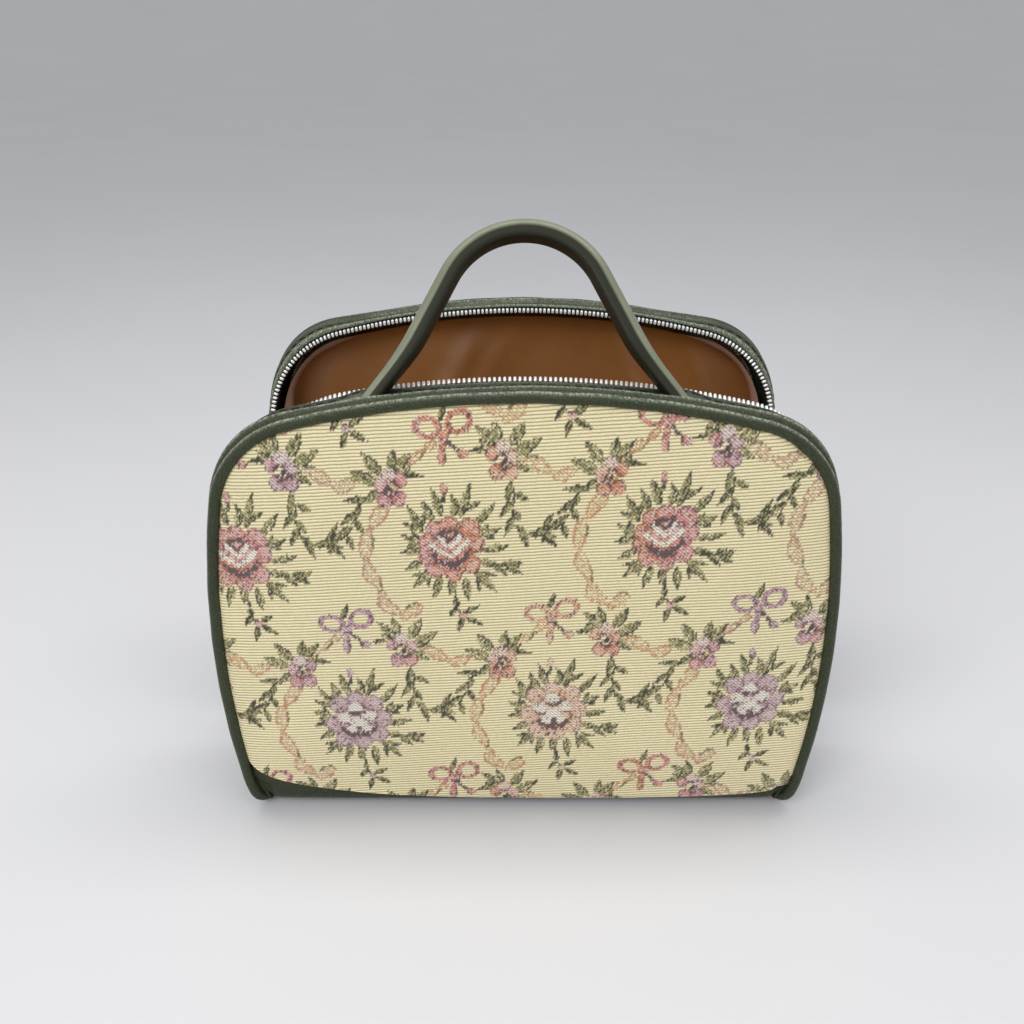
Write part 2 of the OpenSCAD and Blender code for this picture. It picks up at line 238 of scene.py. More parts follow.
class Outline:
    """Barrel outline of a half: crown, rounded corners, barrelled sides and small feet, all tangent arcs."""

    FOOT_HIGH = 0.018
    FOOT_IN = 0.0012
    FOOT_BEND = 0.0030
    FOOT_END = (0.1172, -0.0075)

    def __init__(self, sizes: CaseSizes) -> None:
        """Finds the arcs of the right-hand half.

        Args:
            sizes: The case's driving sizes.
        """
        s = self.sizes = sizes
        side = np.array([s.case_w / 2 - s.side_r, s.widest_z - s.fold_z])
        crown = np.array([0.0, s.top_z - s.crown_r])
        corner = self.meet(crown, s.crown_r - s.corner_r, side, s.side_r - s.corner_r)
        foot_z = s.low_z + s.foot_r
        foot = np.array([side[0] + math.sqrt((s.side_r - s.foot_r) ** 2 - (foot_z - side[1]) ** 2), foot_z])
        foot_a, shoulder_a = self.bearing(side, foot), self.bearing(side, corner)
        crown_a = self.bearing(crown, corner)
        self.fine: Rail | None = None
        self.arcs = [
            (foot, s.foot_r, -math.pi / 2, foot_a),
            (side, s.side_r, foot_a, shoulder_a),
            (corner, s.corner_r, shoulder_a, crown_a),
            (crown, s.crown_r, crown_a, math.pi / 2),
        ]

    @staticmethod
    def bearing(a: Array, b: Array) -> float:
        """Angle of the line from a to b."""
        return math.atan2(b[1] - a[1], b[0] - a[0])

    @staticmethod
    def meet(a: Array, ra: float, b: Array, rb: float) -> Array:
        """Right-hand meeting point of two circles.

        Args:
            a: First centre.
            ra: First radius.
            b: Second centre.
            rb: Second radius.

        Returns:
            The meeting point with the larger x.
        """
        d = b - a
        gap = math.hypot(*d)
        run = (ra * ra - rb * rb + gap * gap) / (2 * gap)
        rise = math.sqrt(ra * ra - run * run)
        mid = a + d * run / gap
        turn = np.array([-d[1], d[0]]) / gap * rise
        return max((mid + turn, mid - turn), key=lambda p: p[0])

    def rail(self, step: float) -> Rail:
        """Points round the outline, from the right foot over the top to the left foot.

        Args:
            step: Usual distance between points.

        Returns:
            The rail.
        """
        centre, radius, angle = [], [], []
        for c, r, a0, a1 in self.arcs:
            n = max(3, math.ceil(r * abs(a1 - a0) / step))
            centre += [c] * n
            radius += [r] * n
            angle += list(np.linspace(a0, a1, n, endpoint=False))
        c, r, a = np.array(centre), np.array(radius), np.array(angle)
        top, top_r = self.arcs[-1][:2]
        return Rail(
            np.concatenate([c, [top], c[::-1] * [-1, 1]]),
            np.concatenate([r, [top_r], r[::-1]]),
            np.concatenate([a, [math.pi / 2], math.pi - a[::-1]]),
        )

    def right(self, inset: float) -> Array:
        """Closely spaced points of the right-hand half, from the foot to the top.

        Args:
            inset: Distance inside the outline.

        Returns:
            Rows of x and height above the fold line.
        """
        if self.fine is None:
            self.fine = self.rail(0.5 * MM)
        p = self.fine.points(inset)
        return p[: len(p) // 2 + 1]

    def half_width(self, z: float | Array, inset: float) -> Array:
        """Half the width of the outline at heights above the fold line."""
        p = self.right(inset)
        return np.interp(z, p[:, 1], p[:, 0])

    def top(self, x: Array, inset: float) -> Array:
        """Height of the crown and corners at places across.

        Args:
            x: Places across.
            inset: Distance inside the outline.

        Returns:
            Heights above the fold line.
        """
        p = self.right(inset)
        upper = p[p[:, 1] > self.sizes.widest_z]
        return np.interp(np.abs(x), upper[::-1, 0], upper[::-1, 1])

    def foot(self) -> tuple[Array, Array]:
        """Line along which the piping is drawn in to the floor at the right foot.

        Returns:
            Points from the side down to the floor, and outward directions, as rows of x and height.
        """
        x = float(self.half_width(self.FOOT_HIGH, self.sizes.piping_d / 2))
        a, b = np.array([x, self.FOOT_HIGH]), np.array([x - self.FOOT_IN, self.FOOT_BEND])
        c = np.array(self.FOOT_END)
        t = np.linspace(0, 1, 24)[:, None]
        p = (1 - t) ** 2 * a + 2 * t * (1 - t) * b + t**2 * c
        d = (1 - t) * (b - a) + t * (c - b)
        d /= np.linalg.norm(d, axis=1)[:, None]
        return p, np.c_[-d[:, 1], d[:, 0]]

    def foot_x(self, z: float | Array) -> Array:
        """Half the width between the pipings' middles at heights above the fold line.

        Args:
            z: Heights.

        Returns:
            Half widths.
        """
        p, _ = self.foot()
        side = self.half_width(z, self.sizes.piping_d / 2)
        return np.where(z < p[0, 1], np.interp(z, p[::-1, 1], p[::-1, 0]), side)


@dataclass(frozen=True)
class HalfFrame:
    """Where a half stands: its own frame starts on its fold line, with the panel towards -Y."""

    side: Side
    sizes: CaseSizes

    @property
    def body(self) -> str:
        """The body that the half's pieces ride on."""
        return f"{self.side.value}_half"

    @property
    def mirrored(self) -> bool:
        """True for the back half, which is the front one turned round."""
        return self.side is Side.BACK

    @property
    def fold_at(self) -> float:
        """Place of the half's fold line in the case, from front to back."""
        return self.sizes.fold_y * (1 if self.mirrored else -1)

    def place(self, local: Array) -> Array:
        """Moves points from the half's own frame to the case's.

        Args:
            local: A table of points, each x, y and z from the fold line.

        Returns:
            The same table in the case's frame.
        """
        s = self.sizes
        x, y, z = np.moveaxis(np.asarray(local, float), -1, 0)
        if self.mirrored:
            c, t = math.cos(s.back_lean), math.sin(s.back_lean)
            y, z = y * c - z * t, y * t + z * c
            return np.stack([x, s.fold_y - y, z + s.fold_z], axis=-1)
        return np.stack([x, y - s.fold_y, z + s.fold_z], axis=-1)

    def name(self, piece: str) -> str:
        """Name of one of the half's pieces or nodes."""
        return f"{self.side.value}_{piece}"


# ---- the bench


class Bench:
    """The modelling moves that the pieces share, each made with Blender's own operators."""

    SHEET_ANGLE = 50
    SWEEP_ANGLE = 60
    BLOCK_ANGLE = 40

    @staticmethod
    def clear() -> None:
        """Leaves edit mode and deselects everything."""
        if bpy.context.object is not None and bpy.context.object.mode != "OBJECT":
            bpy.ops.object.mode_set(mode="OBJECT")
        bpy.ops.object.select_all(action="DESELECT")

    @staticmethod
    def pick(obj: Piece) -> None:
        """Selects one object alone and makes it active.

        Args:
            obj: The object.
        """
        Bench.clear()
        obj.select_set(True)
        bpy.context.view_layer.objects.active = obj

    @staticmethod
    def rows(items: bpy.types.bpy_prop_collection, key: str) -> Array:
        """Reads a place from each vertex or face of a mesh.

        Args:
            items: The vertices or faces.
            key: Blender's name for what is read.

        Returns:
            Rows of x, y and z.
        """
        out = np.empty(len(items) * 3)
        items.foreach_get(key, out)
        return out.reshape(-1, 3)

    @staticmethod
    def points(obj: Piece) -> Array:
        """The object's vertices as rows of x, y and z."""
        return Bench.rows(obj.data.vertices, "co")

    @staticmethod
    def shape(obj: Piece, points: Array) -> None:
        """Moves the object's vertices to new places."""
        obj.data.vertices.foreach_set("co", np.ascontiguousarray(points, dtype=np.float32).ravel())
        obj.data.update()

    @staticmethod
    def grid(name: str, across: int, along: int) -> tuple[Piece, Array, Array]:
        """Adds a flat grid.

        Args:
            name: Name of the piece.
            across: Faces across.
            along: Faces along.

        Returns:
            The object, and each vertex's place across and along, from 0 to 1.
        """
        Bench.clear()
        bpy.ops.mesh.primitive_grid_add(x_subdivisions=across, y_subdivisions=along, size=2.0)
        obj = bpy.context.object
        obj.name = obj.data.name = name
        flat = Bench.points(obj)
        return obj, (flat[:, 0] + 1) / 2, (flat[:, 1] + 1) / 2

    @staticmethod
    def apply(obj: Piece, kind: str, **values: object) -> None:
        """Adds a modifier, sets it and applies it.

        Args:
            obj: The object.
            kind: Blender's name for the kind of modifier.
            **values: What to set on it.
        """
        modifier = obj.modifiers.new(kind.title(), kind)
        for key, value in values.items():
            setattr(modifier, key, value)
        Bench.pick(obj)
        bpy.ops.object.modifier_apply(modifier=modifier.name)

    @staticmethod
    def edit(obj: Piece, *moves: Callable[[], object]) -> None:
        """Runs moves in edit mode on the whole mesh.

        Args:
            obj: The object.
            *moves: What to do, in order.
        """
        Bench.pick(obj)
        bpy.ops.object.mode_set(mode="EDIT")
        bpy.ops.mesh.select_all(action="SELECT")
        for move in moves:
            move()
        bpy.ops.object.mode_set(mode="OBJECT")

    @staticmethod
    def flip(obj: Piece) -> None:
        """Turns every face round."""
        Bench.edit(obj, bpy.ops.mesh.flip_normals)

    @staticmethod
    def close(obj: Piece, gap: float = 1e-6) -> None:
        """Merges doubles, fills open ends and points the faces outwards.

        Args:
            obj: The object.
            gap: Distance under which two points are one.
        """
        Bench.edit(
            obj,
            lambda: bpy.ops.mesh.remove_doubles(threshold=gap),
            lambda: bpy.ops.mesh.fill_holes(sides=0),
            lambda: bpy.ops.mesh.normals_make_consistent(inside=False),
        )

    @staticmethod
    def smooth(obj: Piece, angle: float | None = None) -> None:
        """Shades the object smooth, or smooth only under an angle.

        Args:
            obj: The object.
            angle: Largest angle that is smoothed, in degrees, or None for all.
        """
        Bench.pick(obj)
        if angle is None:
            bpy.ops.object.shade_smooth()
        else:
            bpy.ops.object.shade_smooth_by_angle(angle=math.radians(angle))

    @staticmethod
    def sheet(
        name: str, rows: Array, turned: bool, thick: float = 0.0, painted_light: Array | None = None
    ) -> Piece:
        """Makes a sheet through a table of points.

        Args:
            name: Name of the piece.
            rows: Points, as along by across by 3.
            turned: Whether its faces are to be turned round.
            thick: Thickness, put on behind the faces, or 0 for none.
            painted_light: For each point, how much painted light it takes, if that is to be marked.

        Returns:
            The sheet.
        """
        along, across = rows.shape[:2]
        obj, u, v = Bench.grid(name, across - 1, along - 1)
        i, j = np.rint(v * (along - 1)).astype(int), np.rint(u * (across - 1)).astype(int)
        Bench.shape(obj, rows[i, j])
        # Stores each point's share of painted light as an attribute.
        if painted_light is not None:
            layer = obj.data.attributes.new("painted_light", "FLOAT", "POINT")
            layer.data.foreach_set("value", painted_light[i, j].astype(np.float32))
        if turned:
            Bench.flip(obj)
        if thick:
            Bench.apply(obj, "SOLIDIFY", thickness=thick, offset=-1.0, use_even_offset=False)
        Bench.smooth(obj, Bench.SHEET_ANGLE if thick else None)
        return obj

    @staticmethod
    def sweep(
        name: str, centre: Array, out: Array, wide: Array, section: Array, painted_light: Array
    ) -> Piece:
        """Carries a closed section along a path.

        Args:
            name: Name of the piece.
            centre: Points of the path.
            out: For each point, the direction of the section's first coordinate.
            wide: For each point, the direction of the section's second coordinate.
            section: Sections, as path points by section points by 2.
            painted_light: For each section point, how much painted light it takes.

        Returns:
            The closed piece.
        """
        ring = centre[:, None] + section[..., :1] * out[:, None] + section[..., 1:] * wide[:, None]
        ring = np.concatenate([ring, ring[:, :1]], axis=1)
        marks = np.repeat(np.r_[painted_light, painted_light[:1]][None], len(centre), axis=0)
        obj = Bench.sheet(name, ring, False, painted_light=marks)
        Bench.close(obj, 2e-6)
        Bench.smooth(obj, Bench.SWEEP_ANGLE)
        return obj

    @staticmethod
    def copies(name: str, model: Piece, places: Sequence[Matrix]) -> Piece:
        """Copies a small model to many places, as one mesh.

        Args:
            name: Name of the piece.
            model: What is copied; it is used up.
            places: Where each copy goes.

        Returns:
            The joined piece.
        """
        made = []
        for place in places:
            one = model.copy()
            one.data = model.data.copy()
            one.data.transform(place)
            bpy.context.scene.collection.objects.link(one)
            made.append(one)
        bpy.data.objects.remove(model)
        Bench.clear()
        for one in made:
            one.select_set(True)
        bpy.context.view_layer.objects.active = made[0]
        bpy.ops.object.join()
        made[0].name = made[0].data.name = name
        return made[0]

    @staticmethod
    def block(
        name: str, low: Sequence[float], high: Sequence[float], round_off: float, segments: int = 3
    ) -> Piece:
        """Makes a block with rounded edges.

        Args:
            name: Name of the piece.
            low: Lowest corner.
            high: Highest corner.
            round_off: Radius of the edges.
            segments: Faces across each rounded edge.

        Returns:
            The block.
        """
        Bench.clear()
        a, b = np.array(low), np.array(high)
        bpy.ops.mesh.primitive_cube_add(size=1.0)
        obj = bpy.context.object
        obj.name = obj.data.name = name
        obj.data.transform(Matrix.Translation(Vector((a + b) / 2)) @ Matrix.Diagonal(Vector((*(b - a), 1.0))))
        Bench.edit(obj, lambda: bpy.ops.mesh.bevel(offset=round_off, segments=segments, affect="EDGES", profile=0.5))
        Bench.smooth(obj, Bench.BLOCK_ANGLE)
        return obj

    @staticmethod
    def hand_over(
        obj: Piece,
        finish: Material,
        slot: str,
        body: str | None,
        stands_for: Sequence[str] = (),
    ) -> Piece:
        """Gives a piece its finish, the body that it rides on and the nodes that it stands for.

        Args:
            obj: The piece.
            finish: Its material.
            slot: Not used.
            body: The body, or None for none.
            stands_for: CAD nodes that it replaces.

        Returns:
            The same piece.
        """
        obj.data.materials.clear()
        obj.data.materials.append(finish)
        if body is not None:
            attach(obj, body)
        if stands_for:
            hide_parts(*stands_for)
        log.info("%s: %d faces", obj.name, len(obj.data.polygons))
        return obj


# ---- finishes


class Nodes:
    """Adds and joins shader nodes in one tree."""

    def __init__(self, tree: NodeTree) -> None:
        """Keeps the tree."""
        self.tree = tree

    def add(self, kind: str, **values: object) -> Node:
        """Adds a node.

        Args:
            kind: Blender's name for the node, without its ShaderNode prefix.
            **values: Node settings, or input sockets by name with _ for a space.

        Returns:
            The node.
        """
        node = self.tree.nodes.new(f"ShaderNode{kind}")
        for key, value in values.items():
            if hasattr(node, key):
                setattr(node, key, value)
            else:
                self.wire(value, node, key.replace("_", " "))
        return node

    def wire(self, value: object, node: Node, socket: str | int) -> None:
        """Sets an input socket, or joins an output to it.

        Args:
            value: A value or an output.
            node: The node.
            socket: Name or place of its input.
        """
        if isinstance(value, Socket):
            self.tree.links.new(value, node.inputs[socket])
        else:
            node.inputs[socket].default_value = value

    def fill(self, node: Node, values: dict[int, object], out: int = 0) -> Socket:
        """Sets a node's inputs by their places.

        Args:
            node: The node.
            values: Values or outputs, by the place of the input.
            out: Place of the output that is wanted.

        Returns:
            That output.
        """
        for place, value in values.items():
            self.wire(value, node, place)
        return node.outputs[out]

    def math(self, operation: str, a: object, b: object = 0.0, c: object = 0.0) -> Socket:
        """A sum of up to three values."""
        return self.fill(self.add("Math", operation=operation), {0: a, 1: b, 2: c})

    def mix(self, share: object, a: object, b: object, blend: str = "MIX") -> Socket:
        """A mix of two colours."""
        return self.fill(self.add("Mix", data_type="RGBA", blend_type=blend), {0: share, 6: a, 7: b}, 2)

    def ramp(self, value: object, low: float, high: float, to_low: float = 0.0, to_high: float = 1.0) -> Socket:
        """A value moved from one range to another."""
        return self.fill(self.add("MapRange"), {0: value, 1: low, 2: high, 3: to_low, 4: to_high})

    def place(self) -> Socket:
        """Object coordinates."""
        return self.add("TexCoord").outputs["Object"]

    def effect(self, tree: NodeTree, place: Socket, scale: float) -> list[Socket]:
        """The values that a shared effect puts out."""
        return list(self.add("Group", node_tree=tree, Vector=place, Scale=scale).outputs)

    def noise(self, place: Socket, scale: float, detail: float = 2.0) -> Socket:
        """Soft noise at a scale."""
        return self.add("TexNoise", Vector=place, Scale=scale, Detail=detail).outputs["Fac"]


class NodeGroups:
    """Effects that several finishes share."""

    @staticmethod
    def start(name: str, scale: float, outputs: Sequence[str]) -> tuple[Nodes, Node, Node]:
        """Starts a group that takes a place and a scale.

        Args:
            name: Name of the group.
            scale: Usual scale.
            outputs: Names of the values that it puts out.

        Returns:
            The node adder, and the group's input and output nodes.
        """
        tree = bpy.data.node_groups.new(name, "ShaderNodeTree")
        tree.interface.new_socket("Vector", in_out="INPUT", socket_type="NodeSocketVector")
        tree.interface.new_socket("Scale", in_out="INPUT", socket_type="NodeSocketFloat").default_value = scale
        for key in outputs:
            tree.interface.new_socket(key, in_out="OUTPUT", socket_type="NodeSocketFloat")
        return Nodes(tree), tree.nodes.new("NodeGroupInput"), tree.nodes.new("NodeGroupOutput")

    @staticmethod
    def grain() -> NodeTree:
        """Pebbled grain of pressed vinyl: a height and a mask of its creases.

        Returns:
            The group.
        """
        made = bpy.data.node_groups.get("vinyl_grain")
        if made:
            return made
        n, start, end = NodeGroups.start("vinyl_grain", 900.0, ("Height", "Crease"))
        vector, scale = start.outputs["Vector"], start.outputs["Scale"]
        bend = n.add("TexNoise", Vector=vector, Scale=420.0, Detail=2.0)
        shift = {0: bend.outputs["Color"], 1: (0.0012, 0.0012, 0.0012), 2: vector}
        moved = n.fill(n.add("VectorMath", operation="MULTIPLY_ADD"), shift)
        cells = n.add("TexVoronoi", feature="DISTANCE_TO_EDGE", Vector=moved, Scale=scale)
        fine = n.noise(vector, 2600.0, 3.0)
        pebble = n.ramp(cells.outputs["Distance"], 0.0, 0.5)
        height = n.math("MULTIPLY_ADD", fine, 0.25, pebble)
        n.wire(height, end, "Height")
        n.wire(n.math("SUBTRACT", 1.0, pebble), end, "Crease")
        return n.tree

    @staticmethod
    def mottle() -> NodeTree:
        """Broad unevenness of colour and wear, as a value round 0.5.

        Returns:
            The group.
        """
        made = bpy.data.node_groups.get("soft_mottle")
        if made:
            return made
        n, start, end = NodeGroups.start("soft_mottle", 30.0, ("Broad", "Scuff"))
        vector, scale = start.outputs["Vector"], start.outputs["Scale"]
        broad = n.add("TexNoise", Vector=vector, Scale=scale, Detail=4.0, Roughness=0.6)
        scuffs = n.add("TexNoise", Vector=vector, Scale=n.math("MULTIPLY", scale, 9.0), Detail=5.0, Roughness=0.75)
        n.wire(n.ramp(broad.outputs["Fac"], 0.3, 0.7), end, "Broad")
        n.wire(n.ramp(scuffs.outputs["Fac"], 0.56, 0.72), end, "Scuff")
        return n.tree


class Finish:
    """A procedural material, started with one Principled shader."""

    @staticmethod
    def start(name: str) -> tuple[Material, Nodes, Node]:
        """Starts a material.

        Args:
            name: Name of the finish.

        Returns:
            The material, its node adder and its shader.
        """
        material = bpy.data.materials.new(name)
        material.use_nodes = True
        return material, Nodes(material.node_tree), material.node_tree.nodes["Principled BSDF"]

    @staticmethod
    def bump(n: Nodes, shader: Node, height: object, strength: float, distance: float) -> None:
        """Feeds a height to the shader's normal."""
        node = n.add("Bump", Height=height, Strength=strength, Distance=distance)
        n.wire(node.outputs["Normal"], shader, "Normal")


@dataclass(frozen=True)
class VinylFinish:
    """Pressed vinyl with a pebbled grain, worn a little paler in patches, and a painted highlight along its ridges."""

    name: str
    colour: Colour
    pale: Colour
    dark: Colour
    grain: float
    depth: float
    gloss: tuple[float, float]
    # Colour of the painted highlight along the ridges.
    highlight_colour: Colour = (172, 180, 158)
    # How strongly the painted highlight shows along the ridges.
    wear: float = 0.8

    def build(self) -> Material:
        """Builds the material.

        Returns:
            The material.
        """
        material, n, shader = Finish.start(self.name)
        place = n.place()
        across = n.fill(n.add("VectorMath", operation="MULTIPLY"), {0: place, 1: (1.0, 0.42, 1.0)})
        height, crease = n.effect(NodeGroups.grain(), across, self.grain)
        broad, scuff = n.effect(NodeGroups.mottle(), place, 34.0)
        base = n.mix(broad, linear(*self.colour), linear(*self.pale))
        creased = n.mix(n.math("MULTIPLY", crease, 0.75), base, linear(*self.dark))
        worn = n.mix(n.math("MULTIPLY", scuff, 0.08), creased, linear(*self.pale))
        speckle = n.ramp(n.noise(across, 1100.0), 0.4, 0.62, 0.2, 1.0)
        # Painted highlight: a paler grainy line where the piece marks its ridges, with its strength set by wear.
        painted_light = n.add("Attribute", attribute_name="painted_light").outputs["Fac"]
        line = n.math("MULTIPLY", n.math("MULTIPLY", painted_light, self.wear), speckle)
        n.wire(n.mix(line, worn, linear(*self.highlight_colour)), shader, "Base Color")
        gloss = n.ramp(broad, 0.0, 1.0, *self.gloss)
        n.wire(n.math("MULTIPLY_ADD", crease, 0.18, gloss), shader, "Roughness")
        shader.inputs["Specular IOR Level"].default_value = 0.42
        shader.inputs["Specular Tint"].default_value = (0.84, 0.88, 0.74, 1.0)
        Finish.bump(n, shader, height, self.depth, 0.0004)
        return material


@dataclass(frozen=True)
class HandleFinish:
    """Smooth moulded vinyl, with painted light on its rounded outer face and painted shade on its sides."""

    name: str
    # Painted light colour of the rounded outer face, and below it the painted shade colour of the sides.
    outer: Colour
    side: Colour

    def build(self) -> Material:
        """Builds the material.

        Returns:
            The material.
        """
        material, n, shader = Finish.start(self.name)
        place = n.place()
        broad = n.effect(NodeGroups.mottle(), place, 40.0)[0]
        # Mask of the outer face: painted light there, painted shade on the sides.
        face = n.add("Attribute", attribute_name="painted_light").outputs["Fac"]
        base = n.mix(face, linear(*self.side), linear(*self.outer))
        n.wire(n.mix(n.math("MULTIPLY", broad, 0.3), base, linear(*self.side)), shader, "Base Color")
        n.wire(n.ramp(face, 0.0, 1.0, 0.5, 0.22), shader, "Roughness")
        shader.inputs["Specular IOR Level"].default_value = 0.36
        shader.inputs["Specular Tint"].default_value = (0.86, 0.9, 0.8, 1.0)
        Finish.bump(n, shader, n.noise(place, 1500.0), 0.08, 0.0003)
        return material


@dataclass(frozen=True)
class TapestryFinish:
    """Ribbed jacquard: the stitches' colours come from the cloth's own attribute, the ribs from its UV map."""

    name: str
    columns: int
    rows: int
    # Colour of the rib valleys: partly the dark yarn between the ribs, partly painted shade.
    valley: Colour = (150, 136, 92)
    ribs: float = 152.0

    def build(self) -> Material:
        """Builds the material.

        Returns:
            The material.
        """
        material, n, shader = Finish.start(self.name)
        uv = n.add("SeparateXYZ")
        n.wire(n.add("UVMap", uv_map="UVMap").outputs["UV"], uv, 0)
        place = n.place()
        straight = n.math("MULTIPLY", uv.outputs["Y"], math.pi * self.ribs)
        line = n.math("MULTIPLY_ADD", n.noise(place, 260.0), 0.9, straight)
        rib = n.math("ABSOLUTE", n.math("SINE", line))
        up = n.math("MULTIPLY", uv.outputs["Y"], self.rows / 1.9)
        slant = n.math("MULTIPLY_ADD", uv.outputs["X"], self.columns / 2.8, up)
        twill = n.math("ABSOLUTE", n.math("SINE", n.math("MULTIPLY", slant, math.pi)))
        stitch = n.add("Attribute", attribute_name="stitch")
        fuzz = n.noise(place, 1800.0, 3.0)
        broad = n.effect(NodeGroups.mottle(), place, 26.0)[0]
        ground = stitch.outputs["Alpha"]
        # Rib valleys darkened: partly dark yarn between the ribs, partly painted shade.
        valley = n.math("POWER", n.math("SUBTRACT", 1.0, rib), 1.7)
        shade = n.math("MULTIPLY", valley, n.ramp(ground, 0.0, 1.0, 0.25, 0.95))
        yarn = stitch.outputs["Color"]
        ribbed = n.mix(shade, yarn, n.mix(1.0, yarn, linear(*self.valley), "MULTIPLY"))
        slanted = n.math("MULTIPLY", n.math("SUBTRACT", 1.0, twill), n.ramp(ground, 0.0, 1.0, 0.55, 0.1))
        threaded = n.mix(slanted, ribbed, n.mix(1.0, ribbed, linear(130, 120, 100), "MULTIPLY"))
        aged = n.mix(n.math("MULTIPLY", broad, 0.06), threaded, linear(190, 170, 122))
        n.wire(n.mix(n.math("MULTIPLY", fuzz, 0.06), aged, linear(110, 98, 74)), shader, "Base Color")
        shader.inputs["Roughness"].default_value = 0.82
        shader.inputs["Sheen Weight"].default_value = 0.1
        shader.inputs["Specular IOR Level"].default_value = 0.25
        fuzzed = n.math("MULTIPLY_ADD", fuzz, 0.3, rib)
        height = n.math("MULTIPLY_ADD", twill, n.ramp(ground, 0.0, 1.0, 0.5, 0.1), fuzzed)
        Finish.bump(n, shader, height, 0.6, 0.0006)
        return material


@dataclass(frozen=True)
class LiningFinish:
    """Thin smooth lining vinyl, lightly crazed and unevenly worn."""

    name: str
    colour: Colour
    dark: Colour

    def build(self) -> Material:
        """Builds the material.

        Returns:
            The material.
        """
        material, n, shader = Finish.start(self.name)
        place = n.place()
        broad = n.effect(NodeGroups.mottle(), place, 18.0)[0]
        height, crease = n.effect(NodeGroups.grain(), place, 1500.0)
        base = n.mix(n.math("MULTIPLY", broad, 0.55), linear(*self.colour), linear(*self.dark))
        n.wire(n.mix(n.math("MULTIPLY", crease, 0.25), base, linear(*self.dark)), shader, "Base Color")
        n.wire(n.ramp(broad, 0.0, 1.0, 0.4, 0.58), shader, "Roughness")
        Finish.bump(n, shader, height, 0.12, 0.0003)
        return material


@dataclass(frozen=True)
class MetalFinish:
    """Bright zip metal, dulled in places."""

    name: str
    bright: Colour
    dull: Colour
    metallic: float = 1.0

    def build(self) -> Material:
        """Builds the material.

        Returns:
            The material.
        """
        material, n, shader = Finish.start(self.name)
        place = n.place()
        broad, scuff = n.effect(NodeGroups.mottle(), place, 160.0)
        n.wire(n.mix(scuff, linear(*self.bright), linear(*self.dull)), shader, "Base Color")
        shader.inputs["Metallic"].default_value = self.metallic
        n.wire(n.ramp(broad, 0.0, 1.0, 0.2, 0.38), shader, "Roughness")
        return material


@dataclass(frozen=True)
class WovenFinish:
    """Plain woven tape, thread or card, with fine crossed threads on Object coordinates."""

    name: str
    colour: Colour
    dark: Colour
    pitch: float = 2400.0

    def build(self) -> Material:
        """Builds the material.

        Returns:
            The material.
        """
        material, n, shader = Finish.start(self.name)
        place = n.place()
        warp, weft = (
            n.add("TexWave", wave_type="BANDS", bands_direction=way, Vector=place, Scale=self.pitch / 6, Distortion=1.0)
            for way in "XZ"
        )
        cross = n.math("MULTIPLY", warp.outputs["Fac"], weft.outputs["Fac"])
        n.wire(n.mix(cross, linear(*self.dark), linear(*self.colour)), shader, "Base Color")
        shader.inputs["Roughness"].default_value = 0.85
        Finish.bump(n, shader, cross, 0.4, 0.0002)
        return material


class Wardrobe:
    """All the finishes of the case, each built once."""

    def __init__(self, columns: int, rows: int) -> None:
        """Builds the materials.

        Args:
            columns: Stitches across the tapestry.
            rows: Stitches up the tapestry.
        """
        greens = (56, 63, 42), (69, 76, 54), (28, 32, 19)
        self.vinyl = VinylFinish("green_vinyl", *greens, 900.0, 0.75, (0.24, 0.36)).build()
        greens = (57, 66, 43), (69, 78, 54), (26, 30, 17)
        self.piping = VinylFinish("piping_vinyl", *greens, 950.0, 0.6, (0.22, 0.34)).build()
        # Handle: painted light colour on the outer face, painted shade colour on the sides.
        self.handle = HandleFinish("handle_vinyl", (132, 137, 115), (31, 31, 19)).build()
        self.tapestry = TapestryFinish("rose_tapestry", columns, rows).build()
        self.lining = LiningFinish("tan_lining", (152, 98, 42), (106, 63, 22)).build()
        self.binding = LiningFinish("pink_binding", (178, 138, 116), (128, 94, 76)).build()
        self.metal = MetalFinish("zip_metal", (226, 226, 220), (150, 148, 140)).build()
        self.teeth = MetalFinish("bright_teeth", (236, 236, 232), (190, 190, 184), 0.5).build()
        self.tape = WovenFinish("black_tape", (24, 24, 21), (10, 10, 8)).build()
        self.thread = WovenFinish("dark_thread", (20, 21, 15), (9, 9, 6), 6000.0).build()
        self.card = WovenFinish("raw_card", (140, 116, 84), (108, 88, 62), 1200.0).build()


# ---- the woven pattern


class Yarn(Enum):
    """Yarn colours of the tapestry, as seen on screen."""

    CREAM = (252, 241, 198)
    WHITE = (255, 250, 236)
    DARK = (74, 75, 68)
    OLIVE = (130, 128, 94)
    SAGE = (192, 185, 134)
    GREY = (112, 92, 96)
    MAUVE = (200, 158, 170)
    PINK = (226, 156, 152)
    CORAL = (226, 152, 122)
    PEACH = (240, 192, 160)
    TAN = (208, 166, 116)

    @property
    def rgb(self) -> Array:
        """The colour as an array."""
        return np.array(self.value, float)


class RoseKind(Enum):
    """The two roses, which change from row to row."""

    CURLED = 0
    OPEN = 1


Spot = tuple[float, float]


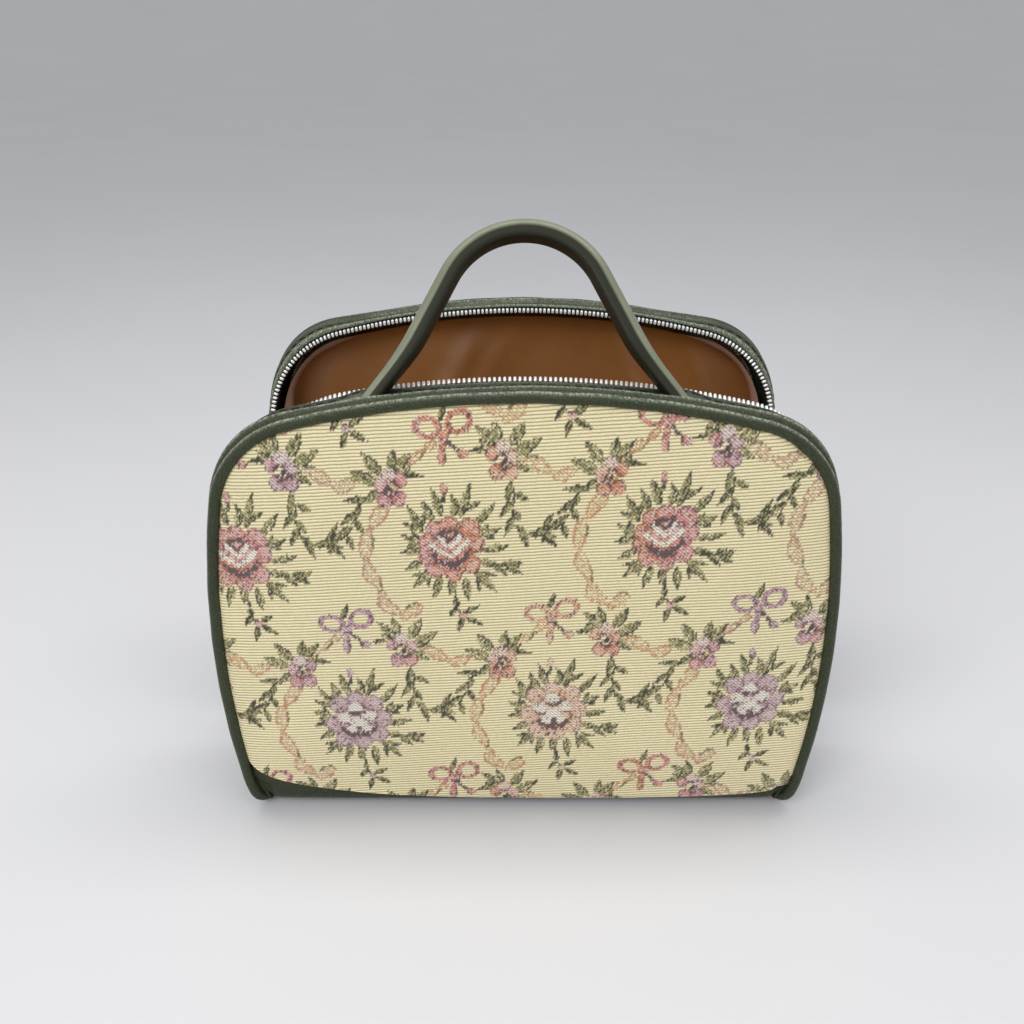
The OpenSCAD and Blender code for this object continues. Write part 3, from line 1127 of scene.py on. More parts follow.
class FloralWeave:
    """A traditional rose, leaf and bow pattern in small stitches, drawn by rule, in millimetres."""

    REPEAT = 86.0
    DROP = 84.9
    STAGGER = 38.0
    START = (-27.3, 142.4)
    STRIPE = 176.0
    STRIPE_START = -76.0
    STRIPE_ENDS = (0.2, 0.5, 0.76)

    def __init__(self, columns: int, rows: int, low: Spot, stitch: Spot, seed: int) -> None:
        """Lays out the ground.

        Args:
            columns: Stitches across.
            rows: Stitches up.
            low: Lower left corner of the cloth.
            stitch: Width and height of a stitch.
            seed: Which set of uneven stitches.
        """
        rng = np.random.default_rng(seed)
        self.low, self.stitch = low, stitch
        shift = rng.uniform(-0.3, 0.3, (2, rows, columns))
        self.x = low[0] + (np.arange(columns)[None] + 0.5 + shift[0]) * stitch[0]
        self.z = low[1] + (np.arange(rows)[:, None] + 0.5 + shift[1]) * stitch[1]
        self.chance, self.second = rng.random((2, rows, columns))
        self.rgb = Yarn.CREAM.rgb + (self.second[..., None] - 0.5) * 12
        self.ground = np.ones((rows, columns))

    def window(self, low: Spot, high: Spot) -> tuple[slice, slice] | None:
        """The stitches inside a box.

        Args:
            low: Lower left corner.
            high: Upper right corner.

        Returns:
            Rows and columns, or None if there are none.
        """
        c0, c1 = ((v - self.low[0]) / self.stitch[0] for v in (low[0], high[0]))
        r0, r1 = ((v - self.low[1]) / self.stitch[1] for v in (low[1], high[1]))
        rows = slice(max(0, int(r0) - 1), max(0, min(self.x.shape[0], int(r1) + 2)))
        cols = slice(max(0, int(c0) - 1), max(0, min(self.x.shape[1], int(c1) + 2)))
        return None if rows.start >= rows.stop or cols.start >= cols.stop else (rows, cols)

    def paint(self, area: tuple[slice, slice], mask: Array, colour: Array | Yarn) -> None:
        """Puts a colour on some stitches of an area."""
        self.rgb[area][mask] = colour.rgb if isinstance(colour, Yarn) else colour[mask]
        self.ground[area][mask] = 0.0

    def bloom(self, area: tuple[slice, slice], white: float = 0.0) -> Array:
        """Colours of the flower yarns, which change in broad stripes across the cloth.

        Args:
            area: The stitches.
            white: Share of white in the colour.

        Returns:
            A colour for each stitch.
        """
        phase = np.mod((self.x[area] - self.STRIPE_START) / self.STRIPE, 1.0)
        stripe = np.abs(phase - 0.5) * 2 + (self.second[area] - 0.5) * 0.2
        kinds = np.array([Yarn.PEACH.value, Yarn.CORAL.value, Yarn.PINK.value, Yarn.MAUVE.value], float)
        return kinds[np.digitize(stripe, self.STRIPE_ENDS)] * (1 - white) + Yarn.WHITE.rgb * white

    def trace(self, line: Sequence[Spot], at: Spot, reach: float) -> tuple | None:
        """Finds the stitches along a line.

        Args:
            line: Points of the line.
            at: Where the line's own origin lies.
            reach: How far from the line to look.

        Returns:
            The area, each stitch's signed distance from the line and its distance along it, or None.
        """
        p = np.array(line, float) + at
        area = self.window(p.min(axis=0) - reach, p.max(axis=0) + reach)
        if area is None:
            return None
        x, z = self.x[area], self.z[area]
        best, run, length = np.full(x.shape, 1e9), np.zeros(x.shape), 0.0
        for a, b in zip(p[:-1], p[1:]):
            d = b - a
            size = math.hypot(*d)
            t = np.clip(((x - a[0]) * d[0] + (z - a[1]) * d[1]) / size**2, 0, 1)
            gx, gz = x - a[0] - t * d[0], z - a[1] - t * d[1]
            gap = np.hypot(gx, gz) * np.where(d[0] * gz - d[1] * gx < 0, -1, 1)
            nearer = np.abs(gap) < np.abs(best)
            best, run = np.where(nearer, gap, best), np.where(nearer, length + t * size, run)
            length += size
        return area, best, run

    def stroke(self, line: Sequence[Spot], at: Spot, wide: float, yarn: Yarn, share: float = 0.88) -> None:
        """A plain line of one yarn.

        Args:
            line: Points of the line.
            at: Where the line's own origin lies.
            wide: Its width.
            yarn: Its colour.
            share: Share of the stitches that take the colour.
        """
        found = self.trace(line, at, wide)
        if found is not None:
            area, gap, _ = found
            self.paint(area, (np.abs(gap) < wide / 2) & (self.chance[area] < share), yarn)

    def lobe(self, x: float, z: float, wide: float, high: float, shade: float, white: float = 0.0) -> None:
        """A rounded petal, flecked with white and shaded on one side.

        Args:
            x: Middle across.
            z: Middle up.
            wide: Half its width.
            high: Half its height.
            shade: Direction of its shaded side, in degrees.
            white: How white it is.
        """
        area = self.window((x - wide, z - high), (x + wide, z + high))
        if area is None:
            return
        dx, dz = (self.x[area] - x) / wide, (self.z[area] - z) / high
        out = np.hypot(dx, dz)
        inside = out < 1
        chance, second = self.chance[area], self.second[area]
        toward = dx * math.cos(math.radians(shade)) + dz * math.sin(math.radians(shade))
        tone = self.bloom(area, white)
        self.paint(area, inside, tone)
        lit = inside & (toward < 0.05) & (out < 0.82) & (chance < 0.7)
        self.paint(area, lit, self.bloom(area, min(1.0, 0.42 + 0.5 * white)))
        self.paint(area, inside & (out > 0.8) & (chance < 0.6), tone * (0.76 + 0.14 * white))
        self.paint(area, inside & (second > 0.87), self.bloom(area, min(1.0, 0.6 + 0.4 * white)))
        self.paint(area, inside & (toward > 0.5) & (second < 0.72), Yarn.GREY)
        self.paint(area, inside & (chance > 0.89 + 0.07 * white), Yarn.GREY)

    def leaf(self, foot: Spot, tip: Spot, wide: float, at: Spot, deep: float = 0.0) -> None:
        """A pointed leaf with slanting veins, a dark midrib and one dark edge.

        Args:
            foot: Where it starts.
            tip: Where it ends.
            wide: Its width.
            at: Where its own origin lies.
            deep: How much darker than usual.
        """
        a, b = np.array(foot, float) + at, np.array(tip, float) + at
        area = self.window(np.minimum(a, b) - wide, np.maximum(a, b) + wide)
        if area is None:
            return
        d = b - a
        long = math.hypot(*d)
        dx, dz = self.x[area] - a[0], self.z[area] - a[1]
        u, v = (dx * d[0] + dz * d[1]) / long, (dz * d[0] - dx * d[1]) / long
        half = 0.5 * wide * np.sin(math.pi * np.clip(u / long, 0, 1) ** 0.76) ** 0.9
        inside = (u > 0) & (u < long) & (np.abs(v) < half)
        chance, second = self.chance[area], self.second[area]
        vein = np.mod(u * 0.9 - np.abs(v) * 1.2, 2.4) < 1.2
        self.paint(area, inside, Yarn.SAGE)
        self.paint(area, inside & vein & (chance < 0.8), Yarn.OLIVE)
        self.paint(area, inside & (second > 0.88 + deep), Yarn.CREAM)
        dark = ((np.abs(v) < 0.3) & (chance < 0.5)) | ((v < 0.75 - half) & (u > 0.1 * long)) | (second < 0.05 + deep)
        self.paint(area, inside & dark & (chance < 0.86), Yarn.DARK)

    def frond(self, foot: Spot, tip: Spot, wide: float, at: Spot) -> None:
        """A leaf with a smaller leaflet on each side of its foot.

        Args:
            foot: Where it starts.
            tip: Where it ends.
            wide: Its width.
            at: Where its own origin lies.
        """
        a, b = np.array(foot, float), np.array(tip, float)
        d = b - a
        for turn, size, share in ((40, 0.6, 0.12), (-42, 0.56, 0.2)):
            c, s = math.cos(math.radians(turn)), math.sin(math.radians(turn))
            start, turned = a + share * d, np.array([c * d[0] - s * d[1], s * d[0] + c * d[1]])
            self.leaf(start, start + size * turned, wide * 0.72, at, 0.1)
        self.leaf(foot, tip, wide, at)

    def ribbon(self, line: Sequence[Spot], at: Spot, wide: float, twist: float = 15.0) -> None:
        """A twisting ribbon, drawn as two edges that cross.

        Args:
            line: Points of its middle.
            at: Where the line's own origin lies.
            wide: Its width where it lies flat.
            twist: Distance between crossings.
        """
        found = self.trace(line, at, wide)
        if found is None:
            return
        area, gap, run = found
        chance, second = self.chance[area], self.second[area]
        half = 0.5 * wide * np.abs(np.cos(run * math.pi / twist)) ** 0.8 + 0.3
        edge = np.abs(np.abs(gap) - half) < 0.6
        tan = 0.4 * self.bloom(area) + 0.6 * Yarn.TAN.rgb
        self.paint(area, (np.abs(gap) < half) & (chance < 0.55), 0.55 * tan + 0.45 * Yarn.CREAM.rgb)
        self.paint(area, edge & (chance < 0.72), tan)
        self.paint(area, edge & (gap > 0) & (np.sin(run * 2 * math.pi / 23) > 0.78) & (second < 0.7), Yarn.OLIVE)

    def blossom(self, x: float, z: float, turned: int) -> None:
        """A small flower of two heads with leaves behind it.

        Args:
            x: Middle across.
            z: Middle up.
            turned: 1, or -1 for its mirror image.
        """
        at = (x, z)
        leaves = (
            ((-2, 7), (-14, 4.5), 3.0), ((-2, 8), (-10, 15), 4.2), ((-1, 8), (-3, 17), 4.2), ((3, 6), (9.5, 16), 5.0),
            ((4, 2), (15.5, 9), 5.2), ((4, 0), (11, -5.5), 4.0), ((-3, 4), (-9, 9.5), 3.6),
        )
        for k, (foot, tip, wide) in enumerate(leaves):
            self.leaf((foot[0] * turned, foot[1]), (tip[0] * turned, tip[1]), wide, at, 0.5 if k == 0 else 0.0)
        petals = (
            (-4.2, 3.4, 2.9, 0), (0.2, 5.6, 3.1, 0.62), (3.2, 1.8, 2.9, 0.3), (-2.8, -4.2, 3.3, 0), (2.6, -4.6, 3.2, 0),
        )
        for dx, dz, size, white in petals:
            self.lobe(x + dx * turned, z + dz, size, size * 1.1, math.degrees(math.atan2(-dz, -dx * turned)), white)
        self.lobe(x, z - 0.2, 1.3, 1.3, 0, 0)
        self.stroke([(0, -0.6), (0.3, 0.6)], at, 1.5, Yarn.DARK)

    def bud(self, x: float, z: float) -> None:
        """A small bud on a short stalk in a cross of leaves.

        Args:
            x: Middle across.
            z: Middle up.
        """
        at = (x, z)
        leaves = (
            ((-2.4, 3.6), (-6, -0.8)), ((1, 1), (7.4, 4.2)), ((0, -1), (-2.6, -8.6)), ((1, -1), (8.2, -5.6)),
            ((-2.2, 4), (-2.4, 8.6)),
        )
        for foot, tip in leaves:
            self.leaf(foot, tip, 2.9, at, 0.3)
        self.stroke([(-2.2, 9.5), (-2.2, 3.5), (0, 0)], at, 1.1, Yarn.DARK)
        self.lobe(x, z, 1.7, 1.9, 90, 0.25)

    def garland(self, line: Sequence[Spot], at: Spot, size: float = 7.0) -> None:
        """A twig with leaves on both sides.

        Args:
            line: Points of the twig.
            at: Where the line's own origin lies.
            size: Length of its leaves.
        """
        p = np.array(line, float)
        self.stroke(line, at, 1.0, Yarn.DARK, 0.8)
        for k in range(1, len(p)):
            run = math.atan2(*(p[k] - p[k - 1])[::-1])
            for turn in (0.72, -0.8) if k < len(p) - 1 else (0.5, -0.5):
                tip = p[k] + size * np.array([math.cos(run + turn), math.sin(run + turn)])
                self.leaf(p[k] - 0.6 * (p[k] - p[k - 1]) * (turn < 0), tip, 3.0, at, 0.12)

    def bow(self, x: float, z: float) -> None:
        """A tied bow with two hollow loops and two tails.

        Args:
            x: Middle across.
            z: Middle up.
        """
        self.leaf((-1.5, 5), (1.8, 13), 2.8, (x, z), 0.1)
        for cx, cz, wide, high, turn in ((-6.0, 3.2, 6.0, 4.6, -14), (6.2, 4.8, 5.8, 4.9, 22)):
            area = self.window((x + cx - 8, z + cz - 8), (x + cx + 8, z + cz + 8))
            if area is None:
                continue
            c, s = math.cos(math.radians(turn)), math.sin(math.radians(turn))
            dx, dz = self.x[area] - x - cx, self.z[area] - z - cz
            e = np.hypot((dx * c + dz * s) / wide, (dz * c - dx * s) / high)
            ring = (e < 1.0) & (e > 0.56)
            self.paint(area, ring, self.bloom(area))
            self.paint(area, ring & (self.chance[area] < 0.24), Yarn.GREY)
            self.paint(area, ring & (self.chance[area] > 0.82), self.bloom(area, 0.5))
        self.lobe(x - 0.8, z - 3.6, 1.5, 4.0, -90)
        self.lobe(x - 1.4, z - 8.6, 1.8, 3.6, 0)
        self.stroke([(0.6, -1.5), (4.4, -6.0), (6.6, -8.4)], (x, z), 1.7, Yarn.GREY)
        self.lobe(x + 6.6, z - 8.2, 2.3, 1.9, 200)
        self.lobe(x, z, 2.2, 2.3, -90)

    def rose(self, x: float, z: float, kind: RoseKind) -> None:
        """A full rose in a ring of leaves.

        Args:
            x: Middle across.
            z: Middle up.
            kind: Which of the two roses.
        """
        at = (x, z)
        leaves = (
            ((-10, 7), (-15.5, 20)), ((-6, 12), (-9.5, 22)), ((-2, 14), (-5.5, 27)), ((5, 13), (10.5, 29)),
            ((2, 14), (4.5, 22)), ((11, 10), (19.5, 19.5)), ((12, 5), (21, 8)), ((13, -2), (24.5, 0)),
            ((11, -7), (20, -9)), ((9, -11), (17.5, -22)), ((5, -14), (5.5, -26)), ((-5, -13), (-9, -24)),
            ((-9, -10), (-17, -18)), ((-11, -5), (-19, -9)), ((-11, 0), (-20.5, -1)), ((-11, 3), (-19.5, 7)),
            ((0, -14), (-2, -22)),
        )
        for k, (foot, tip) in enumerate(leaves):
            (self.frond if k % 3 == 0 else self.leaf)(foot, tip, 3.8, at)
        self.garland([(15, -8), (20, -9.5), (23.5, -10)], at, 6.0)
        self.leaf((-1.4, 20), (0, 24), 2.0, at, 0.3)
        self.lobe(x - 0.3, z + 26, 1.5, 3.0, -90, 0.15)
        if kind is RoseKind.CURLED:
            ring = (
                (-5.7, 9.2, 4.6), (0.6, 11.2, 4.4), (9.2, 9.2, 5.0), (11.0, 1.4, 4.5), (8.0, -8.6, 4.8),
                (0.4, -13.0, 4.2), (-7.4, -9.8, 4.7), (-10.2, -3.4, 4.4), (-9.4, 3.0, 4.4),
            )
        else:
            ring = (
                (0, 13.6, 4.4), (-7.6, 10.4, 5.0), (8.2, 10.2, 5.2), (11.6, 1.4, 4.8), (8.8, -7.6, 5.0),
                (0.6, -12.2, 4.8), (-8.0, -10.4, 4.9), (-11.6, -0.8, 4.8),
            )
        white = 0.0 if kind is RoseKind.CURLED else 0.18
        for dx, dz, size in ring:
            self.lobe(x + 0.9 * dx, z + 0.9 * dz, 0.93 * size, size, math.degrees(math.atan2(-dz, -dx)), white)
        self.lobe(x, z, 8.4, 9.4, -90, 0.1)
        if kind is RoseKind.CURLED:
            self.stroke([(-5, 4.6), (-2.2, 7.6), (2.4, 7.8), (5, 5)], at, 1.9, Yarn.GREY)
            self.stroke([(-7.2, -3.4), (-3.4, -7), (0, -8.6), (4.4, -6), (7.6, -2)], at, 1.9, Yarn.GREY, 0.75)
            self.stroke([(-7.4, 1.2), (-3.8, -2.4), (-0.4, -3.9), (3.4, -1.8), (7.0, 2.4)], at, 2.2, Yarn.WHITE, 0.92)
            self.stroke([(-4.4, 5.2), (-1.8, 1.8), (0.2, 0.4), (2.4, 2.2), (4.4, 5.4)], at, 1.7, Yarn.WHITE, 0.92)
            self.stroke([(-3.2, 6.4), (0, 3.4), (3, 6.2)], at, 1.4, Yarn.GREY, 0.85)
            self.stroke([(-5.8, -1.8), (-0.2, -6), (5.4, -1.6)], at, 1.2, Yarn.CORAL, 0.7)
        else:
            hearts = (
                (-0.4, 7.6, 3.0), (-5.6, 1.8, 3.1), (5.2, 2.6, 3.1), (-0.3, -1.0, 3.4), (-3.6, -4.6, 2.4),
                (3.4, -4.4, 2.4),
            )
            for dx, dz, size in hearts:
                self.lobe(x + dx, z + dz, size, size * 1.05, -90, 0.92)
            self.stroke([(-3.4, 4.8), (0, 3.4), (3.2, 5.2)], at, 1.4, Yarn.GREY, 0.85)
            self.stroke([(-7.4, -3.6), (-3, -8), (3, -8), (7.4, -3)], at, 1.8, Yarn.GREY, 0.7)

    def motif(self, x: float, z: float, kind: RoseKind) -> None:
        """One repeat: a rose with its bow, blossoms, ribbons and sprigs.

        Args:
            x: Middle of the rose across.
            z: Middle of the rose up.
            kind: Which of the two roses.
        """
        at = (x, z)
        long_ribbon = [
            (-20, 30), (-23.4, 21.1), (-28.5, 14), (-32.7, 7.6), (-34.5, -0.9), (-33.8, -9.7), (-30.3, -17.9),
            (-29.3, -25), (-22, -31.5), (-17, -27.7),
        ]
        self.ribbon(long_ribbon, at, 4.6)
        self.ribbon([(28, 38.5), (34.8, 37.2), (39.4, 32.5), (45.4, 29.0), (52.2, 32.2)], at, 4.2, 11.0)
        self.ribbon([(-3, 45), (-9, 40.5), (-14, 37.5), (-20, 31)], at, 2.2, 9.0)
        self.garland([(25, 31), (27.2, 23), (25.9, 16), (26.5, 9), (31.3, 4.4), (37.0, 5.0)], at)
        self.garland([(58, 25), (52, 21.5), (49.5, 15), (45.5, 8.0), (40.5, 5.4)], at)
        self.leaf((37, 5), (42.5, 14), 2.8, at, 0.4)
        self.leaf((37, 5), (43.5, -3), 2.8, at, 0.4)
        self.stroke([(0, -15), (0, -24)], at, 1.3, Yarn.GREY)
        self.rose(x, z, kind)
        self.bud(x + 2.4, z - 32)
        self.blossom(x - 21.2, z + 27.3, -1)
        self.blossom(x + 23.8, z + 36.5, 1)
        self.bow(x + 1.5, z + 48.5)

    def weave(self) -> None:
        """Draws every repeat that reaches the cloth."""
        for j in range(-1, 4):
            for i in range(-4, 5):
                x = self.START[0] + self.REPEAT * i + self.STAGGER * j
                self.motif(x, self.START[1] - self.DROP * j, RoseKind(j % 2))


# ---- the halves


@dataclass
class HalfPiece:
    """A piece of one half, which follows the outline in the half's own frame."""

    half: HalfFrame
    outline: Outline

    @property
    def sizes(self) -> CaseSizes:
        """The case's driving sizes."""
        return self.outline.sizes

    def sheet(
        self, name: str, rows: Array, inside: bool = False, thick: float = 0.0, painted_light: Array | None = None
    ) -> Piece:
        """Makes a sheet from points in the half's own frame, which may face into the case."""
        return Bench.sheet(self.half.name(name), self.half.place(rows), self.half.mirrored != inside, thick, painted_light)

    def ride(self, obj: Piece, finish: Material, slot: str, *nodes: str) -> Piece:
        """Hands over a piece that goes with the half and stands for some of its nodes."""
        return Bench.hand_over(obj, finish, slot, self.half.body, [self.half.name(node) for node in nodes])

    def bend(
        self, obj: Piece, finish: Material, slot: str, *nodes: str, low: float = 0.003, high: float = 0.016
    ) -> None:
        """Hands over a piece with no body, with its placement baked into its mesh."""
        Bench.hand_over(obj, finish, slot, None, [self.half.name(node) for node in nodes])
        self.half.body
        self.half.fold_at
        self.half.fold_at
        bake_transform(obj)


@dataclass
class TapestryPanel(HalfPiece):
    """Tapestry face of a half, cut a little off the grain, pulled over its board and rolled under at the base."""

    wide: float = 0.270
    low: float = -0.0105
    high: float = 0.2055
    columns: int = 435
    rows: int = 250
    skew: float = math.radians(3.4)
    tuck: float = 0.0040
    swell: float = 0.0024
    roll: float = 0.0090
    lift: float = 0.0012
    hidden: float = -0.0030
    seed: int = 5
    flat: tuple[float, float] = (0.262, 0.206)
    turn_z: float = 0.1
    corner_in: float = 0.006
    hem_z: float = 0.0050
    hem_reach: float = 0.1285
    left_rises: tuple[tuple[float, float], ...] = ((0.0175, 0.046), (0.0095, 0.005))
    right_rises: tuple[tuple[float, float], ...] = ((0.0078, 0.042), (0.0030, 0.005))
    edge_round: float = 0.017
    waves: float = 0.00035
    sewn_in: float = 0.0019
    snap: float = 0.0013

    def lower_edge(self, x: Array) -> Array:
        """Lower cut edge of the cloth, which rises in the corners, more at the left.

        Args:
            x: Places across.

        Returns:
            Heights along the cloth.
        """
        far = self.sizes.case_w / 2 - self.corner_in
        edge = np.full_like(x, self.hem_z)
        for end, rises in ((End.LEFT, self.left_rises), (End.RIGHT, self.right_rises)):
            away = np.clip(far - end.value * x, 0, None)
            edge += sum(size * np.exp(-away / reach) for size, reach in rises)
        return edge

    def edge_gap(self, x: Array, z: Array) -> Array:
        """Distance of places on the cloth from its sewn edge.

        Args:
            x: Places across.
            z: Heights above the fold line.

        Returns:
            Distances, nothing outside the edge.
        """
        across = self.outline.half_width(z, self.tuck) - np.abs(x)
        up = self.outline.top(x, self.tuck) - z
        return np.clip(np.minimum(across, up), 0, None)

    def drape(self, flat: Array) -> Array:
        """Shapes the flat cloth: bulged over the board, tucked at the piping, rolled under the base.

        Args:
            flat: Rows of place across and height along the cloth.

        Returns:
            Points in the half's own frame.
        """
        s = self.sizes
        x, run = flat[:, 0], flat[:, 1]
        z = run - s.fold_z
        gap = self.edge_gap(x, z)
        rise = ease((run - 0.006) / 0.045)
        puff = self.swell * (1 - np.exp(-((gap / self.edge_round) ** 1.3))) * (0.25 + 0.75 * rise)
        puff += self.waves * ripple(x, run, 0.06, 11 + self.seed) * rise
        y = s.panel_y - 0.0002 - puff + self.sewn_in * np.exp(-gap / 0.0016)
        start = self.roll + self.lift
        turn = np.clip((start - run) / self.roll, 0, math.pi / 2)
        rolled = run < start
        y = np.where(rolled, y + self.roll * (1 - np.cos(turn)), y)
        z = np.where(rolled, start - self.roll * np.sin(turn) - s.fold_z, z)
        return np.c_[x, y, z]

    def build(self) -> Piece:
        """Weaves, cuts and shapes the cloth.

        Returns:
            The cloth, with its stitches' colours.
        """
        obj, u, v = Bench.grid(self.half.name("tapestry_cloth"), self.columns, self.rows)
        flat = np.c_[(u - 0.5) * self.wide, self.low + v * (self.high - self.low), np.zeros(len(u))]
        Bench.shape(obj, flat)
        stitch = (self.wide / self.columns / MM, (self.high - self.low) / self.rows / MM)
        corner = (-self.wide / 2 / MM - stitch[0] / 2, self.low / MM - stitch[1] / 2)
        weave = FloralWeave(self.columns + 1, self.rows + 1, corner, stitch, self.seed)
        weave.weave()
        row, col = np.rint(v * self.rows).astype(int), np.rint(u * self.columns).astype(int)
        colour = np.c_[np.clip(weave.rgb[row, col], 0, 255) / 255, weave.ground[row, col]]
        layer = obj.data.color_attributes.new("stitch", "BYTE_COLOR", "POINT")
        layer.data.foreach_set("color_srgb", colour.astype(np.float32).ravel())
        c, s, mid = math.cos(self.skew), math.sin(self.skew), self.turn_z
        gx, gz = flat[:, 0], flat[:, 1] - mid
        Bench.shape(obj, np.c_[gx * c - gz * s, mid + gx * s + gz * c, flat[:, 2]])
        self.cut(obj, Bench.rows(obj.data.polygons, "center"))
        Bench.shape(obj, self.half.place(self.drape(Bench.points(obj)[:, :2])))
        if self.half.mirrored:
            Bench.flip(obj)
        Bench.smooth(obj)
        return obj

    def cut(self, obj: Piece, centre: Array) -> None:
        """Cuts the flat cloth to its outline and evens its edge.

        Args:
            obj: The flat cloth.
            centre: Middles of its faces.
        """
        s = self.sizes
        x, run = centre[:, 0], centre[:, 1]
        z = np.maximum(run - s.fold_z, s.low_z + s.foot_r)
        outside = (np.abs(x) > self.outline.half_width(z, self.tuck)) | (run < self.lower_edge(x))
        outside |= run - s.fold_z > self.outline.top(x, self.tuck)
        Bench.pick(obj)
        bpy.ops.object.mode_set(mode="EDIT")
        bpy.ops.mesh.select_mode(type="FACE")
        bpy.ops.object.mode_set(mode="OBJECT")
        obj.data.polygons.foreach_set("select", outside)
        bpy.ops.object.mode_set(mode="EDIT")
        bpy.ops.mesh.delete(type="FACE")
        bpy.ops.object.mode_set(mode="OBJECT")
        points = Bench.points(obj)
        edges = np.sort(np.array([k for p in obj.data.polygons for k in p.edge_keys]), axis=1)
        pairs, count = np.unique(edges, axis=0, return_counts=True)
        rim = np.unique(pairs[count == 1])
        rail = self.outline.rail(0.4 * MM).above(s.low_z + s.foot_r).points(self.tuck) + [0, s.fold_z]
        across = np.linspace(-self.hem_reach, self.hem_reach, 900)
        foot = np.c_[across, self.lower_edge(across)]
        side = self.outline.half_width(np.maximum(foot[:, 1] - s.fold_z, s.low_z + s.foot_r), self.tuck)
        line = np.concatenate([rail, foot[np.abs(across) < side]])
        gap = np.linalg.norm(points[rim, None, :2] - line[None], axis=2)
        near = gap.argmin(axis=1)
        close = gap[np.arange(len(rim)), near] < self.snap
        points[rim[close], :2] = line[near[close]]
        Bench.shape(obj, points)

    def dress(self, wardrobe: Wardrobe) -> None:
        """Args:
            wardrobe: The finishes.
        """
        obj = self.build()
        self.bend(obj, wardrobe.tapestry, "tapestry", "tapestry")
        self.half.name("board")


@dataclass
class LowerFacing(HalfPiece):
    """Vinyl behind the lower edge of the tapestry, which shows in the corners and rolls under the base."""

    sink: float = 0.0007
    inside: float = 0.0012
    raised: float = 0.0004
    high: float = 0.037

    def build(self, panel: TapestryPanel) -> Piece:
        """Makes the facing behind the cloth.

        Args:
            panel: The cloth that it lies behind.

        Returns:
            The facing.
        """
        s = self.sizes
        run = np.linspace(panel.hidden, self.high, 52)
        across = np.linspace(-1, 1, 150)
        rows = np.empty((len(run), len(across), 3))
        for k, r in enumerate(run):
            x = across * (float(self.outline.foot_x(r - s.fold_z)) - self.inside)
            rows[k] = panel.drape(np.c_[x, np.full_like(x, r)])
        return self.sheet("lower_facing", rows + [0, self.sink, self.raised])

    def dress(self, panel: TapestryPanel, wardrobe: Wardrobe) -> None:
        """Builds the facing and hands it over."""
        self.bend(self.build(panel), wardrobe.vinyl, "green_vinyl", "corner_facings")


@dataclass
class PipedSeam(HalfPiece):
    """Cord piped in vinyl round the edge of a half, drawn in to the floor at its two ends."""

    sides: int = 20
    start: float = 0.0106
    roll: float = 0.0075
    # Turn of the painted highlight line round the piping, towards its upper side.
    highlight_a: float = 0.35

    def path(self) -> tuple[Array, Array]:
        """Middle line of the piping, from the right foot over the top to the left foot.

        Returns:
            Points and outward directions, as rows of x and height.
        """
        r = self.outline.sizes.piping_d / 2
        foot, foot_out = self.outline.foot()
        rail = self.outline.rail(1.2 * MM).above(foot[0, 1] + 0.0006)
        wave = 0.0001 * ripple(rail.along(), rail.along() * 0, 0.02, 3)
        mirror = np.array([-1.0, 1.0])
        p = np.concatenate([foot[::-1], rail.points(r - wave), foot * mirror])
        out = np.concatenate([foot_out[::-1], rail.outward(), foot_out * mirror])
        return p, out

    def build(self) -> Piece:
        """Sweeps the piping along the outline.

        Returns:
            The piping.
        """
        s = self.sizes
        p, out = self.path()
        n = len(p)
        turn = np.clip((self.start - s.fold_z - p[:, 1]) / self.roll, 0, math.pi / 2)
        low = np.where(turn > 0, self.start - s.fold_z - self.roll * np.sin(turn), p[:, 1])
        centre = np.c_[p[:, 0], s.panel_y + 0.001 + self.roll * (1 - np.cos(turn)), low]
        a = np.linspace(0, 2 * math.pi, self.sides, endpoint=False)
        section = np.c_[np.cos(a), np.sin(a)] * s.piping_d / 2
        taper = np.ones(n)
        taper[:3], taper[-3:] = (0.6, 0.86, 0.96), (0.96, 0.86, 0.6)
        ahead = np.gradient(centre, axis=0)
        ahead /= np.linalg.norm(ahead, axis=1)[:, None]
        out3 = np.c_[out[:, 0], np.zeros(n), out[:, 1]]
        out3 -= (out3 * ahead).sum(axis=1)[:, None] * ahead
        out3 /= np.linalg.norm(out3, axis=1)[:, None]
        wide = np.cross(ahead, out3)
        # Painted highlight along the piping's upper side.
        painted_light = hump(np.mod(a + self.highlight_a + math.pi, 2 * math.pi) - math.pi, 0.3)
        obj = Bench.sweep(self.half.name("piped_edge"), centre, out3, wide, section[None] * taper[:, None, None], painted_light)
        Bench.shape(obj, self.half.place(Bench.points(obj)))
        if self.half.mirrored:
            Bench.flip(obj)
        return obj

    def dress(self, wardrobe: Wardrobe) -> None:
        """Builds the piping and hands it over."""
        self.bend(self.build(), wardrobe.piping, "green_piping", "piping")


@dataclass(frozen=True)
class Fold:
    """A crease that runs lengthwise in a strip, with a soft ridge beside it."""

    start: float
    end: float
    start_s: float
    end_s: float
    depth: float

    def drop(self, run: Array, s: Array) -> Array:
        """How much deeper the crease lies.

        Args:
            run: Distance along the outline from the middle of the top.
            s: Distance from the piped seam.

        Returns:
            Extra inset.
        """
        t = np.clip((run - self.start) / (self.end - self.start), 0, 1)
        line = s - self.start_s - (self.end_s - self.start_s) * t
        there = np.sin(math.pi * t) ** 0.7
        return there * self.depth * (hump(line, 0.0009) - 0.55 * hump(line + 0.0028, 0.0018))


